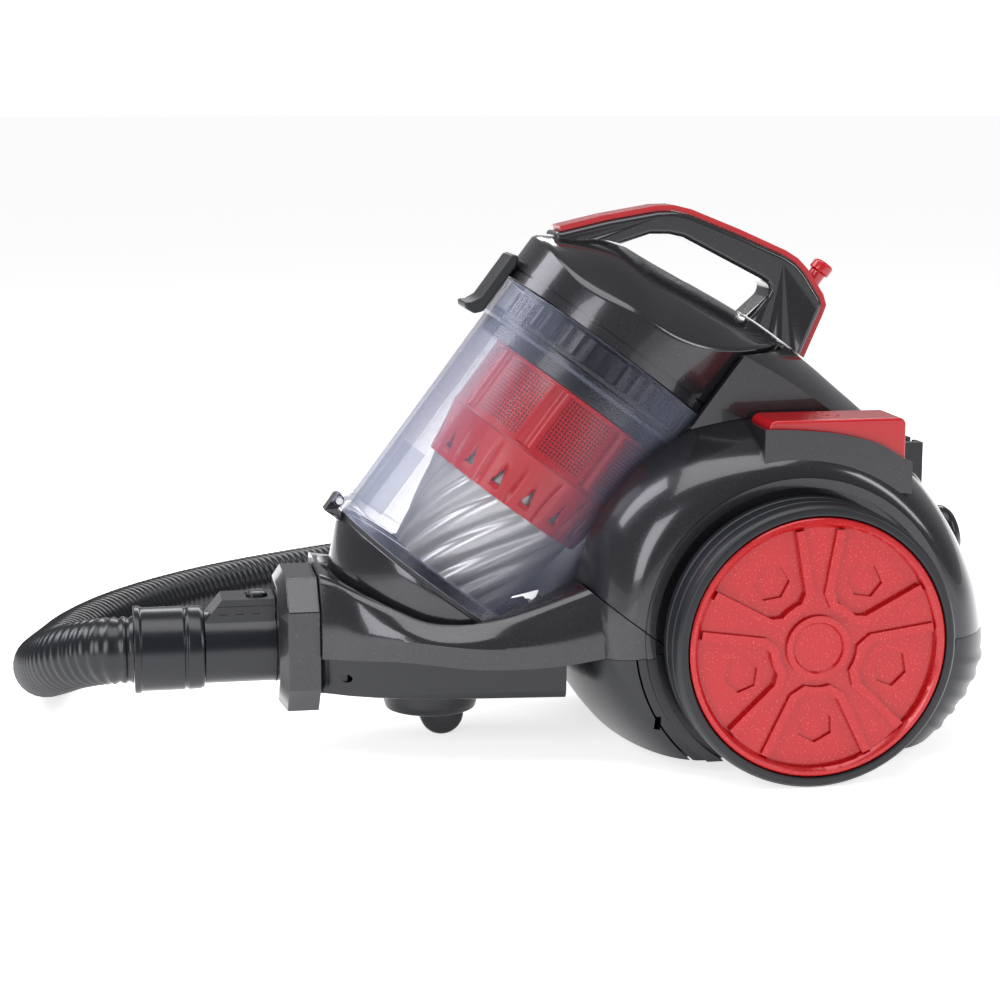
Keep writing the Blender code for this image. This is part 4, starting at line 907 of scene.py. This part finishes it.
rear = piece("rear_body", fender_form(steps=240), GUNMETAL, "machine", ["rear_shell"])
cut(rear, prism(SEAM + [(0.26, SPLIT_Z), (0.26, 0.33), (-0.076, 0.33)], -0.2, 0.2), "INTERSECT")
cut(rear, fender_form(-WALL))
cut(rear, bin_room(WALL), at=BIN_PLACE)
wheel_rooms(rear)
pod_line = [(x / 2000, smooth_curve(POD_EDGE, x / 2000)) for x in range(95, 261, 5)]
for side in (-1, 1):
    low, high = sorted((side * (PEDAL_Y[0] - POD_WALL), side * (PEDAL_Y[1] + POD_WALL)))
    cut(rear, prism(pod_line + [(0.1300, 0.150), (0.0475, 0.158)], low, high), "UNION")
    low, high = sorted((side * PEDAL_Y[0], side * PEDAL_Y[1]))
    cut(rear, box_mesh((PEDAL_X[0], low, 0.14), (PEDAL_X[1], high, 0.22)))
cut(rear, bar(0.0045, -0.02, 0.02), at=GLAND_PLACE)
ease_edges(rear, 0.0007)

gland = [(0.0045, -0.008), (0.0045, 0.0080), (0.0060, 0.0080), (0.0075, 0.0105), (0.0125, 0.0100),
         (0.0165, 0.006), (0.0165, -0.008)]
gland = piece("lead_gland", turned(rounded(gland, 0.0012), 96), BASE_BLACK, "machine", ["cord_gland"],
              at=GLAND_PLACE)
cut(gland, fender_form(GAP), at=Matrix.Identity(4))

# ---------------------------------------------------------------- pedals
# Two red foot pedals on the shoulders: the mains switch and the cord rewind, each moulded in
# one piece of gloss plastic with a shallow sign sunk in its top.
PEDAL_RED = plastic("pedal_red", (0.42, 0.004, 0.008), 0.22, 0.02, 1500.0, coat=0.3, drift=0.06)
PEDAL_TOP = 0.191
SIGN_DEPTH = 0.0004


def sign_ring(radius, steps):
    """Cutter for a ring sunk into a pedal's top."""
    outer = radius + 0.0012
    return turned([(radius, 0.001), (outer, 0.001), (outer, -SIGN_DEPTH), (radius, -SIGN_DEPTH)], steps)


for side, label in ((-1, "near"), (1, "far")):
    low, high = PEDAL_X[0] + 0.0005, PEDAL_X[1] - 0.0005
    outline = [(low, 0.168), (low, PEDAL_TOP - 0.004), (low + 0.0012, PEDAL_TOP - 0.0012),
               (low + 0.004, PEDAL_TOP), (high - 0.003, PEDAL_TOP),
               (high - 0.0009, PEDAL_TOP - 0.0009), (high, PEDAL_TOP - 0.003), (high, 0.162)]
    near, far = sorted((side * (PEDAL_Y[0] + 0.0005), side * (PEDAL_Y[1] - 0.0005)))
    node = next(n for n in ("power_pedal", "rewind_pedal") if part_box(n)[0][1] * side > 0)
    made = piece(f"{label}_pedal", prism(outline, near, far), PEDAL_RED, node.split("_")[0], [node])
    ease_edges(made, 0.0014, segments=3)
    sign = Matrix.Translation((0.088, side * 0.084, PEDAL_TOP))
    cut(made, sign_ring(0.0056, 64), at=sign)
    if node == "power_pedal":
        cut(made, box_mesh((-0.0006, -0.0030, -SIGN_DEPTH), (0.0006, 0.0030, 0.001)), at=sign)
    else:
        cut(made, sign_ring(0.0020, 48), at=sign)

# ---------------------------------------------------------------- top cover
# Crowned gunmetal cover behind the bin that closes the rear body, injection moulded and
# painted, and the black bracket at its back that the floor tool parks in.
CROWN = [(-0.060, 0.2850), (-0.0447, 0.2838), (-0.0148, 0.2815), (0.010, 0.2683), (0.0636, 0.2381),
         (0.0957, 0.2150), (0.1172, 0.1972), (0.1359, 0.1809), (0.1599, 0.1543), (0.175, 0.130)]
CROWN_FALL = 0.037      # how far the crown drops from the ridge to the head's side
COVER_HALF = 0.062
COVER_WIDTH = [(0.0, 1.0), (0.05, 1.0), (0.10, 0.93), (0.14, 0.80), (0.165, 0.62)]


def crown(x, y, grow=0.0):
    return smooth_curve(CROWN, x) - CROWN_FALL * (y / HEAD_R)**2 + grow


def cover_form(grow=0.0, foot=0.10):
    rings = []
    for x in [0.015 + 0.0034 * i for i in range(45)]:
        half = COVER_HALF * smooth_curve(COVER_WIDTH, x) + grow
        top = [(x, half * math.sin(math.radians(a))) for a in range(-90, 91, 9)]
        top = [(x, y, max(crown(x, y, grow), foot + 0.01)) for x, y in top]
        rings.append([(x, -half, foot)] + top + [(x, half, foot)])
    rings[0] = [(p[0] - 1.5 * abs(grow), p[1], p[2]) for p in rings[0]]
    rings[-1] = [(p[0] + grow, p[1], p[2]) for p in rings[-1]]
    return loft(rings)


cover = piece("rear_cover", cover_form(), GUNMETAL, "machine", ["top_cover"])
cut(cover, cover_form(-WALL, 0.09))
cut(cover, fender_form(GAP))
cut(cover, bin_room(WALL), at=BIN_PLACE)
ease_edges(cover, 0.0007)

outline = [(0.1480, 0.138), (0.1690, 0.138), (0.1690, 0.1640), (0.1480, 0.1640)]
bracket = piece("park_bracket", prism(outline, -0.016, 0.016), BASE_BLACK, "machine", ["parking_bracket"])
cut(bracket, box_mesh((0.1600, -0.011, 0.12), (0.1662, 0.011, 0.18)))
cut(bracket, box_mesh((0.1650, -0.0045, 0.12), (0.1720, 0.0045, 0.18)))
cut(bracket, fender_form(GAP))
cut(bracket, cover_form(GAP, 0.05))
ease_edges(bracket, 0.0006)

# ---------------------------------------------------------------- bin
# Clear cup the dust collects in, injection moulded in polycarbonate, with a stiff ribbed
# collar at the top and two ears in front that the bottom lid hinges on.
PIN_X = -(RING_R + 0.0035)
PIN_H = 0.0035
PIN_BORE = 0.0024
PIN_PLACE = BIN_PLACE @ Matrix.Translation((PIN_X, 0.0, PIN_H)) @ Matrix.Rotation(-math.pi / 2, 4, "X")


def clear_plastic(name, tint, face, edge):
    """Clear moulding: see-through face on, denser where the wall is seen at a slant."""
    made = plastic(name, tint, 0.08, 0.01, 700.0, drift=0.02, uneven=0.03)
    tree = made.node_tree
    slant = tree.nodes.new("ShaderNodeLayerWeight")
    slant.inputs["Blend"].default_value = 0.45
    amount = tree.nodes.new("ShaderNodeMapRange")
    amount.inputs["To Min"].default_value = face
    amount.inputs["To Max"].default_value = edge
    tree.links.new(slant.outputs["Facing"], amount.inputs["Value"])
    tree.links.new(amount.outputs["Result"], tree.nodes["Principled BSDF"].inputs["Alpha"])
    return made


BIN_CLEAR = clear_plastic("bin_clear", (0.28, 0.30, 0.40), 0.03, 0.75)
FIN_CLEAR = clear_plastic("fin_clear", (0.62, 0.68, 0.82), 0.40, 0.90)
inner = BIN_R - 0.0025
outline = [(inner, 0.0), (RING_R, 0.0), (RING_R, 0.006), (BIN_R, 0.0075), (BIN_R, 0.1365),
           (RING_R, 0.1385), (RING_R, BIN_H), (inner, BIN_H)]
cup = piece("clear_cup", turned(rounded(outline, 0.0006), 160), BIN_CLEAR, "bin", ["bin_cup"],
            at=BIN_PLACE)
wall = -BIN_R + 0.0005
outline = [(PIN_X - 0.003, PIN_H - 0.003), (wall, PIN_H - 0.003), (wall, PIN_H + 0.009),
           (PIN_X - 0.003, PIN_H + 0.003)]
for near in (-0.0105, 0.006):
    cut(cup, prism(outline, near, near + 0.0045), "UNION")
cut(cup, bar(PIN_BORE, -0.02, 0.02, 32), at=PIN_PLACE)
for i in range(60):
    turn = BIN_PLACE @ Matrix.Rotation(math.tau * i / 60, 4, "Z")
    cut(cup, box_mesh((RING_R - 0.0007, -0.0006, 0.1415), (RING_R + 0.001, 0.0006, 0.1555)), at=turn)
cup.data.set_sharp_from_angle(angle=math.radians(30))
piece("hinge_pin", bar(0.0020, -0.0105, 0.0105, 48), STEEL, "bin", ["lid_pin"], at=PIN_PLACE)
fin = piece("clear_fin", box_mesh((-0.0655, -0.001, 0.010), (-0.0505, 0.001, 0.052)), FIN_CLEAR,
            "bin", ["dust_baffle"], at=BIN_PLACE)
ease_edges(fin, 0.0004)

# ---------------------------------------------------------------- bottom lid
# Dark plug that closes the cup and swings down to empty it, moulded in the same metallic
# plastic as the head, with a rubber seal in its rim.
top = -0.0030
rings = [lid_ring(0.058, 0.004, -0.002), flat_ring(BIN_R - 0.0045, top), flat_ring(BIN_R - 0.0010, top),
         flat_ring(BIN_R - 0.0010, top - 0.004), lid_ring(0.0615, 0.004, -0.0015),
         lid_ring(0.058, 0.004, 0.0)]
lid = piece("dust_lid", loft(rings), GUNMETAL, "lid", ["bin_lid"], at=BIN_PLACE)
outline = [(PIN_X + 0.003 * math.cos(math.radians(a)), PIN_H + 0.003 * math.sin(math.radians(a)))
           for a in range(180, -1, -15)]
outline += [(PIN_X + 0.003, top + 0.0018), (-BIN_R - GAP, top + 0.0018), (-BIN_R - GAP, top - 0.0005),
            (-BIN_R + 0.003, top - 0.0005), (-BIN_R + 0.003, top - 0.003), (PIN_X - 0.003, top - 0.003)]
cut(lid, prism(outline, -0.0055, 0.0055), "UNION")
cut(lid, bar(PIN_BORE, -0.02, 0.02, 32), at=PIN_PLACE)
SOFT_RUBBER = plastic("soft_rubber", (0.02, 0.02, 0.022), 0.62, 0.15, 900.0)
far, near = BIN_R - 0.0015, BIN_R - 0.0042
outline = [(far, -GAP), (far, top + GAP), (near, top + GAP), (near, -GAP)]
piece("lid_ring_seal", turned(rounded(outline, 0.0005), 128), SOFT_RUBBER, "lid", ["lid_seal"],
      at=BIN_PLACE)

# ---------------------------------------------------------------- cyclone
# Air separator that hangs from the head inside the cup: black sealing flange, red shroud with
# perforated windows between plain flutes, its tapered skirt, and a silver swirl cone below.
SHROUD_RED = plastic("shroud_red", (0.50, 0.006, 0.010), 0.30, 0.03, 1200.0, drift=0.08)
flange = BIN_R - 0.0025 - 0.0015
outline = [(0.0550, 0.1590), (0.0550, 0.1415), (flange, 0.1415), (flange, 0.1285), (0.046, 0.1285),
           (0.046, 0.1590)]
neck = piece("sealing_flange", turned(rounded(outline, 0.0008), 128), BASE_BLACK, "bin_head",
             ["cyclone_flange"], at=BIN_PLACE)
for i in range(48):
    turn = BIN_PLACE @ Matrix.Rotation(math.tau * i / 48, 4, "Z")
    cut(neck, box_mesh((0.0540, -0.0011, 0.1452), (0.0610, 0.0011, 0.1580)), "UNION", turn)
ease_edges(neck, 0.0005)
outline = [(flange + 0.0012, 0.1440), (flange + 0.0012, 0.1418), (0.056, 0.1418), (0.056, 0.1440)]
piece("sealing_ring", turned(rounded(outline, 0.0005), 128), SOFT_RUBBER, "bin_head", ["cyclone_seal"],
      at=BIN_PLACE)
SHROUD_R = 0.0555


def closed_loop(rings):
    """Skin rings in order and join the last to the first, as a thin wall needs."""
    bm = bmesh.new()
    rows = [[bm.verts.new(p) for p in ring] for ring in rings]
    for low, high in zip(rows, rows[1:] + rows[:1]):
        count = len(low)
        for i in range(count):
            j = (i + 1) % count
            bm.faces.new((low[i], low[j], high[j], high[i]))
    return bm


def wavy_wall(stations, thick, wave, count, steps=288):
    """Thin turned wall whose radius waves round it, as deep at each station as asked."""
    rings = []
    for wall, rows in ((0.0, stations), (thick, reversed(stations))):
        for radius, height, depth in rows:
            ring = []
            for i in range(steps):
                a = math.tau * i / steps
                r = radius - wall - depth * wave(a * count)
                ring.append((r * math.cos(a), r * math.sin(a), height))
            rings.append(ring)
    return closed_loop(rings)


def flute(angle):
    """Wide flat windows with a narrow soft groove between each pair."""
    return max(0.0, -math.cos(angle))**14


def perforated(name, colour, pitch, low, high, windows):
    """Moulded plastic with round holes in windows between plain flutes, each hole painted dark as the shade
    seen through it.
    """
    made = plastic(name, colour, 0.30, 0.03, 1200.0, drift=0.08)
    tree = made.node_tree

    def maths(kind, first, second=0.0):
        node = tree.nodes.new("ShaderNodeMath")
        node.operation = kind
        for place, value in enumerate((first, second)):
            if isinstance(value, float):
                node.inputs[place].default_value = value
            else:
                tree.links.new(value, node.inputs[place])
        return node.outputs[0]

    place = tree.nodes.new("ShaderNodeTexCoord")
    split = tree.nodes.new("ShaderNodeSeparateXYZ")
    tree.links.new(place.outputs["Object"], split.inputs[0])
    x, y, z = split.outputs
    angle = maths("ARCTAN2", y, x)
    across = maths("SUBTRACT", maths("FRACT", maths("MULTIPLY", angle, SHROUD_R / pitch)), 0.5)
    along = maths("SUBTRACT", maths("FRACT", maths("MULTIPLY", z, 1.0 / pitch)), 0.5)
    reach = maths("ADD", maths("MULTIPLY", across, across), maths("MULTIPLY", along, along))
    # dots where the holes are: the holes are real, but their darkness is painted shade for the inside seen
    # through them
    hole_shade_mask = maths("LESS_THAN", reach, 0.09)
    level = maths("MULTIPLY", maths("GREATER_THAN", z, low), maths("LESS_THAN", z, high))
    flat = maths("GREATER_THAN", maths("COSINE", maths("MULTIPLY", angle, float(windows))), -0.55)
    painted_hole_shade = maths("MULTIPLY", hole_shade_mask, maths("MULTIPLY", level, flat))
    shader = tree.nodes["Principled BSDF"]
    mix = tree.nodes.new("ShaderNodeMix")
    mix.data_type = "RGBA"
    tree.links.new(painted_hole_shade, mix.inputs["Factor"])
    tree.links.new(shader.inputs["Base Color"].links[0].from_socket, mix.inputs["A"])
    # near-black painted into the holes: painted shade standing in for the dark inside behind the shroud
    mix.inputs["B"].default_value = (0.03, 0.001, 0.001, 1.0)
    tree.links.new(mix.outputs["Result"], shader.inputs["Base Color"])
    return made


# the shroud's holes are not cut: each one is a dark dot of painted shade on the red
MESH_RED = perforated("shroud_mesh", (0.50, 0.006, 0.010), 0.0021, 0.0915, 0.1262, 8)
stations = [(SHROUD_R, 0.1282, 0.0), (SHROUD_R, 0.1275, 0.0), (SHROUD_R - 0.0006, 0.1267, 0.0016),
            (SHROUD_R - 0.0006, 0.0902, 0.0016),
            (SHROUD_R, 0.0892, 0.0), (SHROUD_R, 0.0880, 0.0)]
piece("red_shroud", wavy_wall(stations, 0.002, flute, 8), MESH_RED, "bin_head", ["shroud"],
      at=BIN_PLACE)
stations = [(SHROUD_R, 0.0877, 0.0), (SHROUD_R - 0.0008, 0.0850, 0.0), (SHROUD_R - 0.0022, 0.0780, 0.0014),
            (SHROUD_R - 0.0040, 0.0670, 0.0018), (SHROUD_R - 0.0050, 0.0600, 0.0010),
            (SHROUD_R - 0.0055, 0.0575, 0.0)]
skirt = piece("red_skirt", wavy_wall(stations, 0.0025, flute, 16), SHROUD_RED, "bin_head", ["shroud_cup"],
              at=BIN_PLACE)
for i in range(16):
    turn = Matrix.Rotation(math.tau * i / 16, 4, "Z") @ Matrix.Rotation(math.pi / 2, 4, "Y")
    notch = raised([(-0.0740, 0.0), (-0.0640, 0.0030), (-0.0640, -0.0030)], 0.040, 0.060)
    cut(skirt, notch, at=BIN_PLACE @ turn)
SILVER = plastic("silver_plastic", (0.50, 0.50, 0.52), 0.26, 0.02, 1500.0, metallic=0.35, drift=0.05)
CONE_RIBS = 15
CONE_TWIST = 230.0      # radians of rib phase for each metre of height
CONE_GROOVE = 0.0027
CONE_STEPS = 240
profile = [(0.046 + 0.001 * (0.1280 - h) / 0.0695, h) for h in (0.1280, 0.105, 0.080, 0.0620)]
profile += [(0.047 - 0.011 * (0.0585 - h) / 0.0545, h) for h in [0.0585 - 0.0545 * i / 40 for i in range(41)]]
rings = []
for radius, height in profile:
    groove = CONE_GROOVE if height < 0.0585 else 0.0
    ring = []
    for i in range(CONE_STEPS):
        a = math.tau * i / CONE_STEPS
        r = radius - groove * (0.5 + 0.5 * math.sin(CONE_RIBS * a - height * CONE_TWIST))**2
        ring.append((r * math.cos(a), r * math.sin(a), height))
    rings.append(ring)
rings += [flat_ring(radius, height, CONE_STEPS)
          for radius, height in ((0.0325, 0.004), (0.0435, 0.0585), (0.0430, 0.1280))]
piece("silver_cone", closed_loop(rings), SILVER, "bin_head", ["swirl_cone"],
      at=BIN_PLACE, sharp=50.0)

# ---------------------------------------------------------------- head and handle
# Crowned gunmetal head that closes the cup, with the carry handle moulded over its ridge, a
# red strip along the handle's spine, the red release button and the dark latch in front.
def head_form(grow, bottom, steps=160):
    def top_height(x, y):
        h = 0.15
        for _ in range(40):
            spot = BIN_PLACE @ Vector((x, 0.0, h))
            h += 0.45 * (crown(spot.x, y, grow) - spot.z)
        return h

    radius = HEAD_R + grow
    rings = [flat_ring(radius, bottom, steps)]
    for share, drop in ((1.0, 0.0018), (0.997, 0.0008), (0.985, 0.0001), (0.965, 0.0), (0.80, 0.0),
                        (0.60, 0.0), (0.40, 0.0), (0.18, 0.0)):
        rings.append([(x, y, top_height(x, y) - drop) for x, y, _ in flat_ring(radius * share, 0.0, steps)])
    return loft(rings)


bottom = BIN_H + GAP * 2
head = piece("bin_cap", head_form(0.0, bottom), GUNMETAL, "bin_head", ["cyclone_head"],
             at=BIN_PLACE)
cut(head, head_form(-WALL, bottom - 0.01))
near, far, low, high = HEAD_R - 0.0009, HEAD_R + 0.001, bottom + 0.0050, bottom + 0.0062
outline = [(near, high), (far, high), (far, low), (near, low)]
cut(head, turned(outline, 160))
ease_edges(head, 0.0005)

SPINE = [(-0.0453, 0.2903), (-0.0195, 0.2962), (0.0100, 0.3012), (0.0200, 0.3014), (0.0300, 0.2990),
         (0.0580, 0.2877), (0.0860, 0.2752), (0.0930, 0.2708), (0.0990, 0.2645), (0.1085, 0.2500),
         (0.1103, 0.2440), (0.1085, 0.2390), (0.0970, 0.2127)]
GRIP = [(-0.013, 0.2795), (0.0055, 0.2854), (0.0165, 0.2853), (0.0247, 0.2835), (0.0703, 0.2597),
        (0.0757, 0.2562), (0.0753, 0.2505), (0.0590, 0.2360)]


def crown_form(grow):
    rings = []
    for x in [-0.075 + 0.0044 * i for i in range(50)]:
        line = [(x, y / 1000, crown(x, y / 1000, grow)) for y in range(-40, 41, 5)]
        rings.append([(x, -0.04, line[0][2] - 0.06)] + line + [(x, 0.04, line[0][2] - 0.06)])
    return loft(rings)


lower = offset_line(SPINE, 0.0030 + GAP)
outline = [(-0.0490, 0.2872)] + lower + [(0.090, 0.200)] + list(reversed(GRIP)) + [(-0.047, 0.2780)]
BUTTON_PLACE = Matrix.Translation((0.1040, 0.0, 0.2563)) @ Matrix.Rotation(BIN_TILT, 4, "Y")
carry = piece("carry_handle", prism(outline, -0.0145, 0.0145), GUNMETAL, "bin_head", ["handle"])
ease_edges(carry, 0.0030, segments=4)
cut(carry, crown_form(4 * GAP))
cut(carry, bar(0.0052, -0.011, 0.03), at=BUTTON_PLACE)
outline = SPINE + list(reversed(offset_line(SPINE, 0.0030)))
strip = piece("red_spine", prism(outline, -0.0105, 0.0105), PEDAL_RED, "bin_head", ["handle_stripe"])
cut(strip, crown_form(0.001))
cut(strip, bar(0.0052, -0.011, 0.03), at=BUTTON_PLACE)
ease_edges(strip, 0.0008)
outline = [(0.0, 0.0135), (0.0052, 0.0135), (0.0062, 0.0125), (0.0062, 0.0074), (0.0047, 0.0070),
           (0.0047, -0.0060), (0.0, -0.0060)]
piece("press_button", turned(rounded(outline, 0.0006), 64), PEDAL_RED, "release", ["release_button"],
      at=BUTTON_PLACE)
x = -HEAD_R - 0.0008
outline = [(x, 0.136), (x - 0.0035, 0.132), (x - 0.0095, 0.1315), (x - 0.0115, 0.134), (x - 0.0085, 0.1365),
           (x - 0.0060, 0.142), (x - 0.0060, 0.1695), (x - 0.0045, 0.172), (x - 0.0020, 0.172), (x, 0.1675)]
hook = piece("head_latch", prism(outline, -0.0135, 0.0135), WHEEL_BLACK, "latch", ["top_latch"], at=BIN_PLACE)
ease_edges(hook, 0.0011, segments=3)

# ---------------------------------------------------------------- pieces kept from the frame
# Parts hidden inside the shells keep their plain shapes: steel axles and pins, the motor, the
# cord reel with its lead, the filters, the switch board and the curved wall behind the bin.
FOAM = plastic("filter_foam", (0.10, 0.10, 0.11), 0.9, 0.6, 2600.0, drift=0.4)
COPPER = plastic("copper_winding", (0.58, 0.24, 0.10), 0.32, 0.1, 2000.0, metallic=1.0)
BOARD = plastic("circuit_board", (0.012, 0.10, 0.045), 0.35, 0.05, 1500.0)
kept = {"axle_near": STEEL, "axle_far": STEEL, "caster_axle": STEEL, "motor_can": STEEL,
        "motor_rotor": COPPER, "motor_seal": SOFT_RUBBER, "motor_filter": FOAM,
        "exhaust_filter": FOAM, "filter_frame": BASE_BLACK,
        "cord_reel": BASE_BLACK, "reel_post": BASE_BLACK, "wound_lead": SOFT_RUBBER, "switch_board": BOARD,
        "bin_cradle": GUNMETAL}
for node, finish in kept.items():
    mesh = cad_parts[node].data
    mesh.materials.clear()
    mesh.materials.append(finish)
